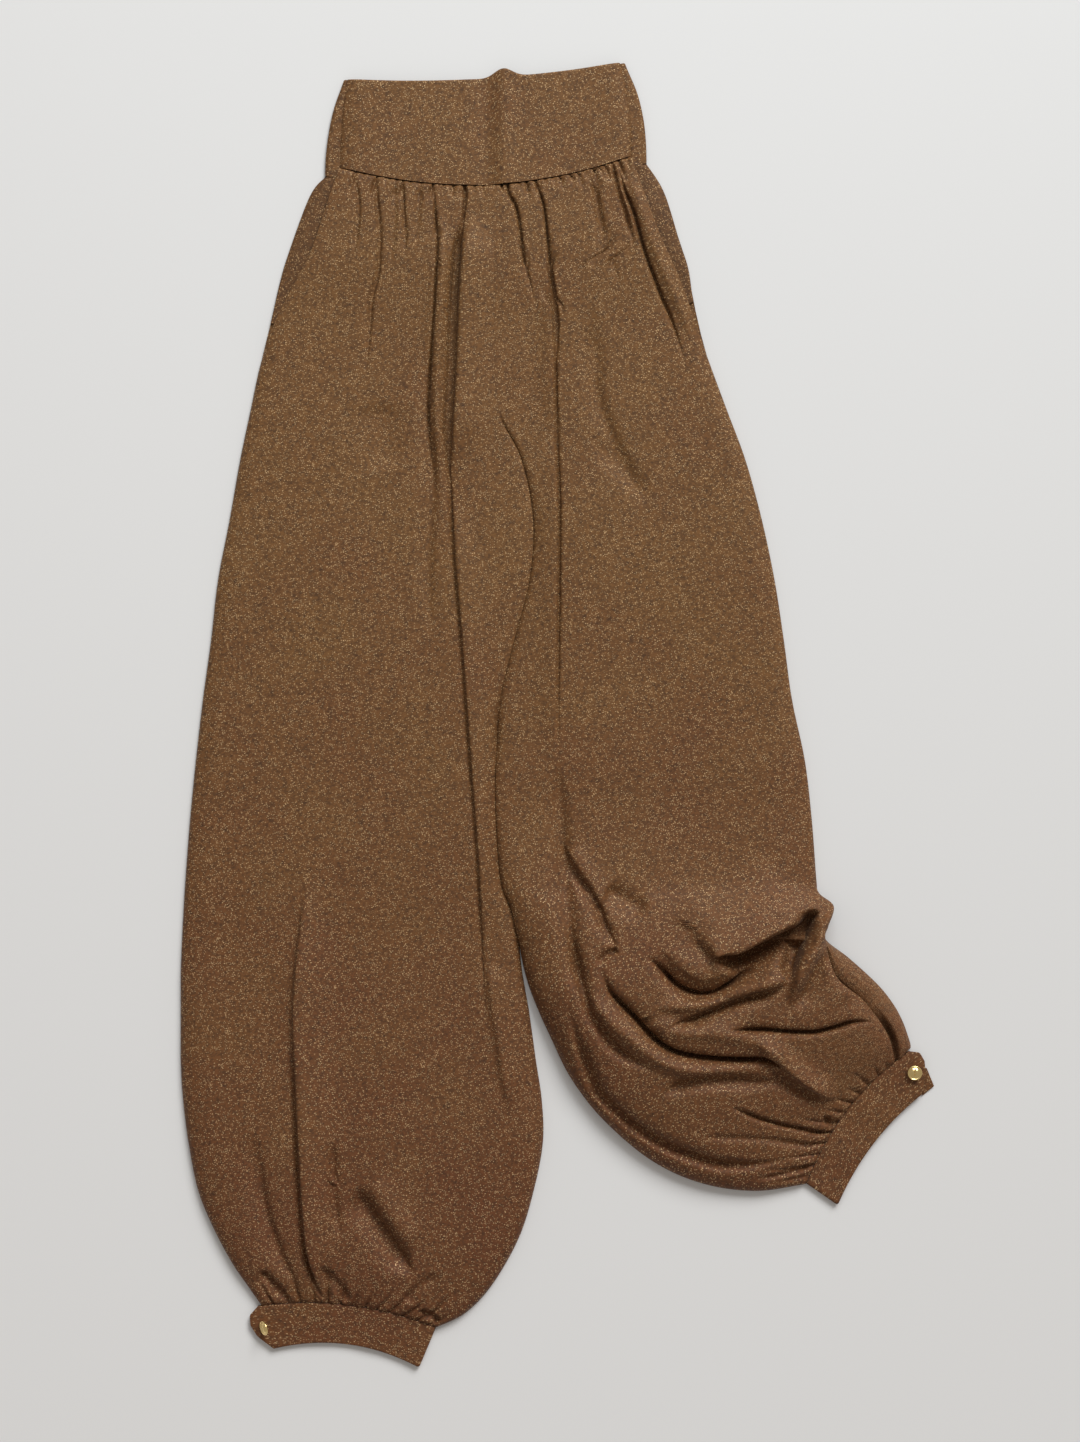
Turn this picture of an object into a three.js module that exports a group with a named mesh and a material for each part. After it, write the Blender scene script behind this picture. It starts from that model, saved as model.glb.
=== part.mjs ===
// High-waisted balloon trousers of fine knit, laid flat on a table with one leg drawn up.
// Millimetres. +X is to the right as one looks down on the front, +Y points to the waistband,
// +Z is up from the table, and the origin lies on the table under the middle of the garment.
// "West" is the side at -X and "east" the side at +X.
import * as THREE from 'three';

// Driving sizes
const cloth = 1.5;
const bandCloth = 2.2;
const seamGap = 0.3;
const sideGap = 0.17;
const buttonRadius = 6.3;
const bed = cloth + seamGap + cloth;
const bandBed = bandCloth + seamGap + bandCloth;

const knit = new THREE.Color(0.2, 0.125, 0.08);
const knitDark = new THREE.Color(0.16, 0.095, 0.062);
const gold = new THREE.Color(0.83, 0.62, 0.3);

const columns = (names, rows) => rows.map(
  row => Object.fromEntries(names.map((name, i) => [name, row[i]])));

// The line down the middle where the two legs meet, from the waist seam to the fork.
// steps is the number of rows of faces to the next section.
const middleSeam = columns(['x', 'y', 'steps'], [
  [-54.5, 455, 2],
  [-54.5, 433, 2],
  [-54.5, 390, 1],
  [-54.5, 365, 1],
  [-54.5, 334, 1],
  [-54.5, 302, 1],
  [-51.5, 262, 1],
  [-32, 220, 2],
  [-22, 169, 2],
  [-25, 117, 2],
  [-38, 65, 2],
  [-50, 14, 2],
  [-53, -38, 2],
  [-52.5, -89, 2],
  [-48.5, -141, 1],
  [-40, -165, 1],
  [-34, -194, 1],
]);

// Sections across each leg, in step with the middle seam and then on to the cuff.
// x, y: edge of the front panel, which runs along the pocket's slant at the hip.
// foldX, foldY: outer fold of the leg. bow: rise of the section's middle off its straight line.
// puff: height of the front over the back at mid-width. lift: the same at the outer edge.
// roll, innerRoll: how far in from the outer and the inner edge the front rounds over.
const sectionNames = ['x', 'y', 'foldX', 'foldY', 'bow', 'puff', 'lift', 'roll', 'innerRoll'];
const leftOuter = columns(sectionNames, [
  [-187, 470, -200, 463, -5, 6.5, 6, 12, 0],
  [-195, 447, -213, 447, -3, 6, 5, 14, 0],
  [-211, 399, -231, 399, 0, 6, 5, 16, 0],
  [-225, 372, -239, 372, 0, 6, 4, 16, 0],
  [-243, 337, -247, 337, 0, 5, 2, 16, 0],
  [-255, 304, -255, 304, 0, 5, 0, 16, 0],
  [-264, 263, -264, 263, 0, 5, 0, 16, 0],
  [-273, 220, -273, 220, 0, 5, 0, 16, 8],
  [-282, 169, -282, 169, 0, 5, 0, 18, 14],
  [-292, 117, -292, 117, 0, 5, 0, 18, 14],
  [-298, 65, -298, 65, 0, 5, 0, 18, 14],
  [-305, 14, -305, 14, 0, 5, 0, 20, 14],
  [-311, -38, -311, -38, 0, 5, 0, 20, 14],
  [-316, -89, -316, -89, 0, 5.5, 0, 20, 14],
  [-320, -141, -320, -141, 0, 6, 0, 22, 14],
  [-321.5, -165, -321.5, -165, 0, 6, 0, 22, 14],
  [-323, -194, -323, -194, 0, 6, 0, 22, 14],
  [-324, -222, -324, -222, 0, 6.5, 0, 22, 14],
  [-324, -253, -324, -253, 0, 7, 0, 24, 16],
  [-324, -296, -324, -296, 0, 8, 0, 26, 20],
  [-322, -330, -322, -330, 0, 9, 0, 28, 22],
  [-317, -369, -317, -369, 0, 10, 0, 30, 24],
  [-309, -408, -309, -408, 0, 10, 0, 30, 26],
  [-296, -440, -296, -440, 3, 10, 0, 30, 28],
  [-280, -470, -280, -470, 6, 9, 0, 26, 26],
  [-267, -489, -267, -489, 9, 7, 0, 20, 20],
  [-255, -506, -255, -506, 10, 4.5, 0, 12, 12],
]);
const leftInner = columns(['x', 'y', 'steps'], [
  [-30.5, -222, 1],
  [-25, -253, 2],
  [-19, -296, 2],
  [-14, -330, 2],
  [-13, -366, 2],
  [-21, -408, 2],
  [-34, -449, 2],
  [-57, -489, 2],
  [-80, -513, 2],
  [-104, -525, 0],
]);

const rightOuter = columns(sectionNames, [
  [62.5, 480, 76, 474, -4, 6.5, 6, 12, 0],
  [73, 450, 91, 450, -2, 6, 5, 14, 0],
  [92, 409, 104, 409, 0, 6, 5, 16, 0],
  [104, 384, 112, 384, 0, 6, 4, 16, 0],
  [114, 354, 116.5, 356, 0, 5, 2, 16, 0],
  [128, 309, 128, 309, 0, 5, 0, 16, 0],
  [145, 263, 145, 263, 0, 5, 0, 16, 0],
  [161, 220, 161, 220, 0, 5, 0, 16, 6],
  [175, 169, 175, 169, 0, 5, 0, 18, 10],
  [186, 117, 186, 117, 0, 5, 0, 18, 10],
  [194, 65, 194, 65, 0, 5, 0, 18, 10],
  [201, 14, 201, 14, 0, 5, 0, 18, 10],
  [212, -38, 212, -38, 0, 5.5, 0, 18, 10],
  [218, -89, 218, -89, 0, 6, 0, 18, 12],
  [222, -141, 222, -141, 0, 10, 0, 20, 20],
  [224, -152, 224, -152, 0, 15, 3, 22, 40],
  [236, -163, 236, -163, 0, 20, 6, 24, 60],
  [230, -180, 230.5, -180, 0, 24, 8, 26, 80],
  [227, -190, 230, -192, 0, 27, 8, 30, 90],
  [236, -221, 250, -208, 0, 28, 8, 32, 90],
  [259, -241, 274, -230, 2, 28, 9, 36, 90],
  [270, -254, 287, -246, 3, 26, 9, 40, 90],
  [277, -264, 295, -260, 4, 22, 9, 44, 90],
  [283, -275, 300, -273, 6, 17, 8, 40, 70],
  [286, -285, 303, -284, 8, 11, 7, 30, 40],
  [288.5, -297, 300, -287.8, 9, 5, 4, 16, 16],
]);
const rightInner = columns(['x', 'y', 'steps'], [
  [-28, -222, 1],
  [-19, -248, 4],
  [-5, -279, 4],
  [11, -311, 4],
  [38, -346, 4],
  [79, -381, 4],
  [122, -401, 4],
  [169, -408, 4],
  [213, -402, 0],
]);

// First section of the drawn-up stretch, whose hidden layers are one rounded heap.
const heapStart = 14;
// Section where the slit above the right cuff begins.
const slitStart = 18;

// Folds: ridges where rise is above 0 and troughs where it is below. Each runs through four
// places. soft is the half-width on the left of the way it runs, crisp the one on its right.
const foldNames = ['name', 'a', 'b', 'c', 'd', 'rise', 'soft', 'crisp'];
const leftFolds = columns(foldNames, [
  ['pleat crest', [-75, 450], [-78, 390], [-82, 323], [-88, 210], 5, 18, 5],
  ['pleat gap', [-81, 440], [-86, 384], [-90, 315], [-94, 200], -5, 5, 5],
  ['pleat flap', [-100, 435], [-100, 370], [-104, 300], [-102, 190], 2, 7, 7],
  ['long fold', [-88, 215], [-79, 70], [-68, -58], [-58, -170], 4, 16, 5],
  ['long crease', [-95, 212], [-87, 70], [-75, -58], [-64, -170], -2, 5, 6],
  ['long fold foot', [-61, -150], [-57, -231], [-48, -277], [-42, -330], 3, 14, 6],
  ['flap crease', [-107, 457], [-102, 400], [-108, 310], [-107, 200], -4, 4, 6],
  ['side trough', [-107, 330], [-110, 268], [-108, 200], [-108, 60], -3, 6, 9],
  ['short trough', [-155, 460], [-152, 410], [-159, 350], [-165, 289], -3.5, 5, 6],
  ['hip trough', [-173, 458], [-170, 440], [-171, 420], [-173, 401], -1.5, 5, 5],
  ['front trough', [-132, 457], [-132, 440], [-132, 420], [-132, 395], -1.5, 5, 5],
  ['thigh dent', [-152, 268], [-150, 248], [-147, 228], [-140, 212], -2.5, 18, 18],
  ['balloon fold', [-214, -135], [-222, -266], [-218, -400], [-199, -500], 6, 22, 6],
  ['balloon crease', [-222, -150], [-230, -280], [-224, -405], [-204, -502], -3, 6, 8],
  ['cuff trough', [-193, -360], [-193, -385], [-189, -410], [-186, -440], -2.5, 7, 7],
  ['side trough low', [-262, -355], [-258, -400], [-248, -440], [-230, -485], -2.5, 8, 8],
  ['side pucker', [-257, -461], [-250, -470], [-240, -482], [-226, -499], -2.5, 6, 6],
  ['inner trough', [-165, -382], [-157, -427], [-138, -452], [-122, -478], -4, 11, 11],
]);
const rightFolds = columns(foldNames, [
  ['slant pleat', [-43, 457], [-34, 431], [-29, 395], [-21, 358], -4, 4, 5],
  ['pleat edge', [-5, 300], [-7, 370], [-11, 425], [-18, 455], 4, 16, 4],
  ['pleat crease', [1, 300], [-2, 370], [-6, 420], [-13, 454], -3.5, 4, 5],
  ['long trough', [-2, 330], [1, 200], [0, 60], [0, -60], -3, 8, 8],
  ['long trough low', [0, -40], [4, -120], [13, -195], [24, -244], -4, 9, 9],
  ['hip crease', [30, 469], [35, 430], [43, 400], [52, 370], -4, 5, 6],
  ['hip pleat', [29, 350], [33, 279], [55, 220], [71, 198], -3, 8, 8],
  ['pocket pleat', [51, 471], [70, 415], [85, 371], [108, 303], -6, 4, 6],
  ['knee trough', [3, -108], [15, -132], [34, -168], [52, -200], -4, 9, 9],
  ['knee dent', [40, -152], [52, -160], [64, -165], [76, -166], -3, 12, 12],
  ['hollow', [75, -204], [105, -230], [132, -234], [170, -214], -9, 11, 9],
  ['overhang', [128, -197], [158, -182], [190, -172], [220, -164], 7, 30, 6],
  ['under overhang', [130, -207], [162, -195], [196, -184], [219, -179], -9, 6, 9],
  ['knob fold', [235, -163], [219, -192], [205, -220], [192, -246], 9, 10, 10],
  ['lower lip', [56, -230], [92, -246], [140, -242], [202, -214], 8, 11, 10],
  ['second crease', [96, -262], [124, -257], [152, -247], [188, -232], -6, 7, 7],
  ['shin fold', [70, -256], [125, -277], [187, -283], [238, -322], 7, 11, 8],
  ['slit crease', [145, -267], [180, -266], [218, -267], [268, -261], -7, 7, 7],
  ['long under crease', [34, -212], [74, -264], [114, -287], [198, -304], -9.5, 9, 9],
  ['inner lip', [22, -230], [50, -274], [100, -302], [165, -304], 5, 11, 9],
  ['soft crease', [92, -318], [120, -309], [155, -309], [187, -314], -3, 9, 9],
  ['inner crease', [9, -174], [27, -249], [46, -279], [84, -303], -5, 7, 7],
  ['outer trough', [7, -244], [34, -320], [92, -366], [203, -378], -5, 9, 8],
  ['cuff fold high', [146, -332], [187, -347], [215, -355], [239, -357], -5, 5, 5],
  ['cuff fold low', [123, -357], [155, -360], [190, -362], [220, -366], -3, 6, 6],
]);

// Gathers along the waist seams and the cuff seams. across: place along the seam, from 0 in
// the west to 1 in the east. drop: length. depth: how far the crease sinks between two gathers.
const gatherNames = ['across', 'drop', 'depth'];
const leftWaistGathers = columns(gatherNames, [
  [0.106, 26, 2.2], [0.158, 10, 1.8], [0.243, 30, 3], [0.314, 12, 2.2], [0.373, 30, 2.2],
  [0.412, 28, 2.8], [0.457, 10, 2], [0.529, 24, 2.2], [0.606, 22, 3], [0.671, 11, 1.8],
  [0.736, 15, 3.4], [0.808, 22, 3], [0.873, 10, 2], [0.925, 13, 2.8],
]);
const rightWaistGathers = columns(gatherNames, [
  [0.054, 14, 2.8], [0.095, 20, 3], [0.179, 12, 2.2], [0.231, 24, 3], [0.297, 22, 3.2],
  [0.37, 10, 1.8], [0.42, 9, 1.8], [0.473, 16, 2.4], [0.554, 12, 2.8], [0.605, 18, 3],
  [0.65, 10, 2.2], [0.723, 24, 2.6], [0.767, 13, 3], [0.804, 18, 3], [0.855, 20, 2.6],
  [0.907, 20, 3], [0.958, 10, 1.6],
]);
const leftCuffGathers = columns(gatherNames, [
  [0.07, 34, 2.4], [0.15, 26, 2.2], [0.22, 46, 2.6], [0.3, 24, 2], [0.37, 60, 2.8],
  [0.44, 38, 2.4], [0.51, 24, 2], [0.58, 30, 2.2], [0.65, 24, 2], [0.72, 36, 2.4],
  [0.8, 30, 2.4], [0.88, 40, 2.4], [0.95, 20, 1.8],
]);
const rightCuffGathers = columns(gatherNames, [
  [0.06, 24, 2], [0.14, 34, 2.2], [0.22, 26, 2], [0.3, 42, 2.4], [0.38, 30, 2.2],
  [0.46, 44, 2.6], [0.54, 26, 2.2], [0.62, 34, 2.2], [0.7, 28, 2], [0.78, 40, 2.4],
  [0.87, 28, 2], [0.94, 18, 1.8],
]);

const mix = (a, b, t) => a + (b - a) * t;
const clamp = (t, low = 0, high = 1) => Math.min(Math.max(t, low), high);
const smooth = t => clamp(t) * clamp(t) * (3 - 2 * clamp(t));
// Quarter-circle rise from 0 at an edge to 1 at a distance of one roll.
const rounded = t => Math.sqrt(1 - (1 - clamp(t)) ** 2);

const spline = (a, b, c, d, t) => 0.5 * (2 * b + (c - a) * t
  + (2 * a - 5 * b + 4 * c - d) * t * t + (3 * b - a - 3 * c + d) * t ** 3);

// Joins the outer and inner edge tables into sections and adds the rows between them. Each row
// holds its distance down from the waist seam and its distance up from the cuff seam.
function layOut(outer, innerFree, innerShift) {
  const shared = middleSeam.map(s => ({ ...s, x: s.x + innerShift }));
  const inner = [...shared, ...innerFree];
  const sections = outer.map((s, i) => ({
    ...s, innerX: inner[i].x, innerY: inner[i].y, steps: inner[i].steps,
  }));
  const keys = Object.keys(sections[0]).filter(key => key !== 'steps');
  const rows = [];
  sections.forEach((section, i) => {
    for (let step = 0; step < Math.max(section.steps, 1); step++) {
      const t = section.steps ? step / section.steps : 0;
      const near = [i - 1, i, i + 1, i + 2].map(k => sections[clamp(k, 0, sections.length - 1)]);
      const row = { index: i + t };
      for (const key of keys) row[key] = spline(...near.map(s => s[key]), t);
      rows.push(row);
    }
  });
  let length = 0;
  rows.forEach((row, i) => {
    const last = rows[Math.max(i - 1, 0)];
    length += Math.hypot((row.x + row.innerX - last.x - last.innerX) / 2,
      (row.y + row.innerY - last.y - last.innerY) / 2);
    row.down = length;
  });
  rows.forEach(row => { row.up = length - row.down; });
  return rows;
}

// A place on a row: west and east are its two ends and u runs from 0 to 1 between them.
function place(west, east, bow, u) {
  const dx = east.x - west.x;
  const dy = east.y - west.y;
  const rise = bow * 4 * u * (1 - u) / Math.hypot(dx, dy);
  return { x: west.x + dx * u - dy * rise, y: west.y + dy * u + dx * rise };
}

// A fold's smooth line, and the height that the fold adds at a place. It fades in and out over
// these shares of its length.
const foldSteps = 12;
const foldFadeIn = 0.2;
const foldFadeOut = 0.25;
function prepareFold(fold) {
  const { a, b, c, d } = fold;
  const ends = [[2 * a[0] - b[0], 2 * a[1] - b[1]], a, b, c, d, [2 * d[0] - c[0], 2 * d[1] - c[1]]];
  const line = [];
  for (let k = 0; k <= 3 * foldSteps; k++) {
    const span = Math.min(Math.floor(k / foldSteps), 2);
    const t = k / foldSteps - span;
    const p = ends.slice(span, span + 4);
    line.push([0, 1].map(axis => spline(...p.map(point => point[axis]), t)));
  }
  return { ...fold, line };
}
function foldHeight(fold, x, y) {
  let best = Infinity;
  let side = 0;
  let along = 0;
  for (let k = 0; k < fold.line.length - 1; k++) {
    const [px, py] = fold.line[k];
    const [qx, qy] = fold.line[k + 1];
    const dx = qx - px;
    const dy = qy - py;
    const t = clamp(((x - px) * dx + (y - py) * dy) / (dx * dx + dy * dy));
    const away = Math.hypot(x - px - dx * t, y - py - dy * t);
    if (away < best) {
      best = away;
      side = dx * (y - py) - dy * (x - px);
      along = (k + t) / (fold.line.length - 1);
    }
  }
  const width = side > 0 ? fold.soft : fold.crisp;
  const fade = smooth(along / foldFadeIn) * smooth((1 - along) / foldFadeOut);
  return fold.rise * fade * Math.exp(-((best / width) ** 2));
}

// Height that the gathers of one seam take away, at a distance from that seam. A crease starts
// with this half-width and widens by this much for each millimetre down.
const gatherHalf = 2.2;
const gatherWidening = 0.05;
function gatherDepth(gathers, across, width, distance) {
  let depth = 0;
  for (const gather of gathers) {
    const fade = 1 - smooth(distance / gather.drop);
    const half = gatherHalf + gatherWidening * distance;
    depth += gather.depth * fade * Math.exp(-(((across - gather.across) * width / half) ** 2));
  }
  return depth;
}

// Deepest that the folds of the drawn-up stretch sink below its rounded form.
const foldRoom = 15;
// Distance from an edge at which folds have their full height, the lift that gives them full
// height at the edge itself, and the distance from the inner edge at which the lift is full.
const foldMargin = 10;
const fullLift = 8;
const liftMargin = 40;
// Rolls shorter than this are sewn edges, which don't round over.
const leastRoll = 1;

// One leg: its rows, which side its outer edge is on, its folds and its gathers.
function makeLeg(rows, outerIsWest, folds, waistGathers, cuffGathers) {
  const leg = { rows, outerIsWest, waistGathers, cuffGathers };
  leg.folds = folds.map(prepareFold);
  leg.ends = row => {
    const outer = { x: row.x, y: row.y };
    const inner = { x: row.innerX, y: row.innerY };
    return outerIsWest ? [outer, inner] : [inner, outer];
  };
  // Outer face of the front panel at u of the way across a row.
  leg.front = (row, u) => {
    const [west, east] = leg.ends(row);
    const p = place(west, east, row.bow, u);
    const width = Math.hypot(east.x - west.x, east.y - west.y);
    const fromOuter = (outerIsWest ? u : 1 - u) * width;
    const fromInner = width - fromOuter;
    const loose = row.innerRoll > leastRoll;
    const round = rounded(fromOuter / row.roll) * (loose ? rounded(fromInner / row.innerRoll) : 1);
    const lift = row.lift * clamp(fromInner / liftMargin);
    const outerEdge = clamp(fromOuter / foldMargin + row.lift / fullLift);
    const edge = outerEdge * (loose ? clamp(fromInner / foldMargin) : 1);
    let z = bed + lift + (row.puff - lift) * round;
    p.plain = z - foldRoom * edge;
    for (const fold of leg.folds) z += edge * foldHeight(fold, p.x, p.y);
    z -= edge * gatherDepth(waistGathers, u, width, row.down);
    z -= edge * gatherDepth(cuffGathers, u, width, row.up);
    p.z = Math.max(z, bed);
    p.u = u;
    return p;
  };
  return leg;
}
const leftLeg = makeLeg(layOut(leftOuter, leftInner, -sideGap), true, leftFolds,
  leftWaistGathers, leftCuffGathers);
const rightLeg = makeLeg(layOut(rightOuter, rightInner, sideGap), false, rightFolds,
  rightWaistGathers, rightCuffGathers);

// Closed wall between two faces. Each face is a list of rows of points, and each point has u,
// its place along the row, by which rows with different numbers of points are joined.
function wall(topRows, bottomRows) {
  const vertices = [];
  const triangles = [];
  const addFace = rows => rows.map(row => row.map(p => vertices.push(p.x, p.y, p.z) / 3 - 1));
  const top = addFace(topRows);
  const bottom = addFace(bottomRows);
  const both = (i, j, k, bi, bj, bk) => triangles.push(i, j, k, bi, bk, bj);
  for (let r = 0; r < top.length - 1; r++) {
    const here = topRows[r];
    const next = topRows[r + 1];
    let i = 0;
    let j = 0;
    while (i < here.length - 1 || j < next.length - 1) {
      const stepHere = j === next.length - 1
        || (i < here.length - 1 && here[i + 1].u + here[i].u <= next[j + 1].u + next[j].u);
      if (stepHere) {
        both(top[r][i], top[r + 1][j], top[r][i + 1],
          bottom[r][i], bottom[r + 1][j], bottom[r][i + 1]);
        i++;
      } else {
        both(top[r][i], top[r + 1][j], top[r + 1][j + 1],
          bottom[r][i], bottom[r + 1][j], bottom[r + 1][j + 1]);
        j++;
      }
    }
  }
  const loop = face => [
    ...face[0],
    ...face.slice(1, -1).map(row => row.at(-1)),
    ...[...face.at(-1)].reverse(),
    ...face.slice(1, -1).reverse().map(row => row[0]),
  ];
  const topLoop = loop(top);
  const bottomLoop = loop(bottom);
  topLoop.forEach((a, k) => {
    const next = (k + 1) % topLoop.length;
    triangles.push(a, topLoop[next], bottomLoop[k]);
    triangles.push(topLoop[next], bottomLoop[next], bottomLoop[k]);
  });
  const geometry = new THREE.BufferGeometry();
  geometry.setAttribute('position', new THREE.Float32BufferAttribute(vertices, 3));
  geometry.setIndex(triangles);
  geometry.computeVertexNormals();
  return geometry;
}

// Points moved straight down by one thickness.
const lowered = (rows, thickness) => rows.map(row => row.map(p => ({ ...p, z: p.z - thickness })));
const flat = (rows, z) => rows.map(row => row.map(p => ({ ...p, z })));

// Places across a row: even ones drawn a little to the edges, or one in and one between gathers.
const edgeDraw = 0.45;
const even = count => Array.from({ length: count + 1 }, (_, i) => {
  const t = i / count;
  return mix(t, (1 - Math.cos(Math.PI * t)) / 2, edgeDraw);
});
function gathered(gathers) {
  const marks = [0, ...gathers.map(g => g.across), 1];
  return marks.flatMap((mark, i) => (i ? [(marks[i - 1] + mark) / 2, mark] : [mark]));
}
const plainAcross = 14;
const heapAcross = 40;
const waistZone = 75;
const cuffZone = 34;
function acrossAt(leg, row) {
  if (row.down < waistZone) return gathered(leg.waistGathers);
  if (row.up < cuffZone) return gathered(leg.cuffGathers);
  return even(!leg.outerIsWest && row.index > heapStart ? heapAcross : plainAcross);
}

function legFront(leg) {
  const top = leg.rows.map(row => acrossAt(leg, row).map(u => leg.front(row, u)));
  return wall(top, lowered(top, cloth));
}

// Back panel, flat on the table, out to the leg's outer fold. It has one row to a section.
const sectionRows = leg => leg.rows.filter(row => Number.isInteger(row.index));
const backWaistBow = -3;
const backBowSections = 3;
function backRow(leg, row, us, z) {
  const fold = { x: row.foldX, y: row.foldY };
  const inner = { x: row.innerX, y: row.innerY };
  const [west, east] = leg.outerIsWest ? [fold, inner] : [inner, fold];
  const bow = row.index < backBowSections
    ? mix(backWaistBow, 0, row.index / backBowSections) : row.bow;
  return us.map(u => ({ ...place(west, east, bow, u), z, u }));
}
const backSeamAcross = 16;
const backPlainAcross = 4;
const backCuffZone = 20;
const backAcross = row => even(
  row.index === 0 || row.up < backCuffZone ? backSeamAcross : backPlainAcross);
function leftBack() {
  const top = sectionRows(leftLeg).map(row => backRow(leftLeg, row, backAcross(row), cloth));
  return wall(top, flat(top, 0));
}

// Right back panel. Under the drawn-up stretch it holds the hidden layers as one rounded heap,
// and beyond the front's edge it rolls up beside the slit. The roll opens over the sections
// just before the slit's start and is lower over the last ones, next to the cuff.
const slitOpening = 2;
const slitEnding = 1.5;
const slitEndShare = 0.45;
const closedRoll = 2;
const slitRoll = columns(['out', 'height'], [[0.06, 4], [0.3, 9], [0.6, 9.5], [0.85, 7], [1, 2]]);
function rightBack() {
  const top = sectionRows(rightLeg).map(row => {
    if (row.index <= heapStart) return backRow(rightLeg, row, backAcross(row), cloth);
    const under = even(plainAcross).map(u => {
      const p = rightLeg.front(row, u);
      return { ...p, z: Math.max(cloth, p.plain - cloth - seamGap) };
    });
    const edge = under.at(-1);
    const open = smooth((row.index - slitStart + 1) / slitOpening);
    const last = smooth((rightLeg.rows.at(-1).index - row.index) / slitEnding);
    const roll = row.index < slitStart ? [] : slitRoll.map(({ out, height }) => ({
      x: mix(edge.x, row.foldX, out),
      y: mix(edge.y, row.foldY, out),
      z: mix(closedRoll, height * mix(slitEndShare, 1, last), open),
      u: 1 + out,
    }));
    return [...under, ...roll];
  });
  return wall(top, flat(top, 0));
}

// Pocket backing at the hip, from the leg's outer fold to just under the front's slanting edge.
// out: share of the way from the fold to the slant. rise: share of the way up to its height.
const pocketSections = 4;
const tuckUnder = 5;
const tuckDrop = 1.4;
const slantInset = 0.5;
const pocketProfile = columns(['out', 'rise'], [[0, 0], [0.25, 0.75], [0.6, 0.97], [1, 1]]);
function pocket(leg) {
  const rows = leg.rows.filter(row => row.index <= pocketSections);
  const top = rows.map(row => {
    const [west, east] = leg.ends(row);
    const width = Math.hypot(east.x - west.x, east.y - west.y);
    const at = distance => leg.front(row, leg.outerIsWest ? distance / width : 1 - distance / width);
    const slant = at(slantInset);
    const tucked = at(tuckUnder);
    const hang = p => p.z - cloth - seamGap - tuckDrop;
    const points = [
      ...pocketProfile.map(({ out, rise }) => ({
        x: mix(row.foldX, slant.x, out),
        y: mix(row.foldY, slant.y, out),
        z: mix(bed, hang(slant), rise),
      })),
      { x: tucked.x, y: tucked.y, z: Math.min(hang(tucked), hang(slant)) },
    ];
    const low = mix(bandCloth + seamGap + cloth, bed, clamp(row.index));
    const held = points.map((p, i) => ({ ...p, z: Math.max(p.z, i ? low : bed) }));
    if (!leg.outerIsWest) held.reverse();
    return held.map((p, i) => ({ ...p, u: i / (held.length - 1) }));
  });
  return wall(top, lowered(top, cloth));
}

// Waistband. Its lower edge follows the two waist seams of the legs.
const bandSides = columns(['frontWestX', 'frontEastX', 'foldWestX', 'foldEastX'], [
  [-181, 53, -184, 57.5],
  [-183.5, 57.5, -190, 65.5],
  [-185.5, 62, -195, 72],
  [-187, 62.5, -200, 76],
]);
const bandTop = { westY: 546, eastY: 560.5, bow: -7, bumpX: -47, bumpRise: 7, bumpHalf: 11 };
const bandPuff = 4;
const bandGap = seamGap * 1.2;
// Share of the width over which the front of the band rounds over at a side seam.
const bandRoll = 1 / 14;
const bandFolds = columns(['x', 'rise', 'half'], [[-47, 3, 7], [-62, -2.5, 8], [20, -1, 30]]);
const waistLine = (leg, useFold, u) => {
  const row = leg.rows[0];
  return useFold ? backRow(leg, row, [u], 0)[0] : place(...leg.ends(row), row.bow, u);
};
function bandRow(level, us, front) {
  const side = level * (bandSides.length - 1);
  const k = Math.min(Math.floor(side), bandSides.length - 2);
  const at = key => mix(bandSides[k][key], bandSides[k + 1][key], side - k);
  const westX = at(front ? 'frontWestX' : 'foldWestX');
  const eastX = at(front ? 'frontEastX' : 'foldEastX');
  return us.map(u => {
    const x = mix(westX, eastX, u);
    const bump = bandTop.bumpRise * Math.exp(-(((x - bandTop.bumpX) / bandTop.bumpHalf) ** 2));
    const high = mix(bandTop.westY, bandTop.eastY, u) + bandTop.bow * 4 * u * (1 - u)
      + (front ? bump : 0);
    const seam = u < 0.5 ? waistLine(leftLeg, !front, u * 2) : waistLine(rightLeg, !front, u * 2 - 1);
    return { x: mix(x, seam.x, level), y: mix(high, seam.y + bandGap, level), u };
  });
}
const bandLevels = [0, 0.25, 0.5, 0.75, 1];
const bandFrontAcross = 20;
const bandBackAcross = 16;
function bandFront() {
  const us = even(bandFrontAcross);
  const top = bandLevels.map(level => bandRow(level, us, true).map(p => {
    const side = rounded(Math.min(p.u, 1 - p.u) / bandRoll);
    const folds = bandFolds.reduce(
      (sum, fold) => sum + fold.rise * Math.exp(-(((p.x - fold.x) / fold.half) ** 2)), 0);
    return { ...p, z: bandBed + side * (bandPuff + folds) };
  }));
  return wall(top, lowered(top, bandCloth));
}
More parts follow.
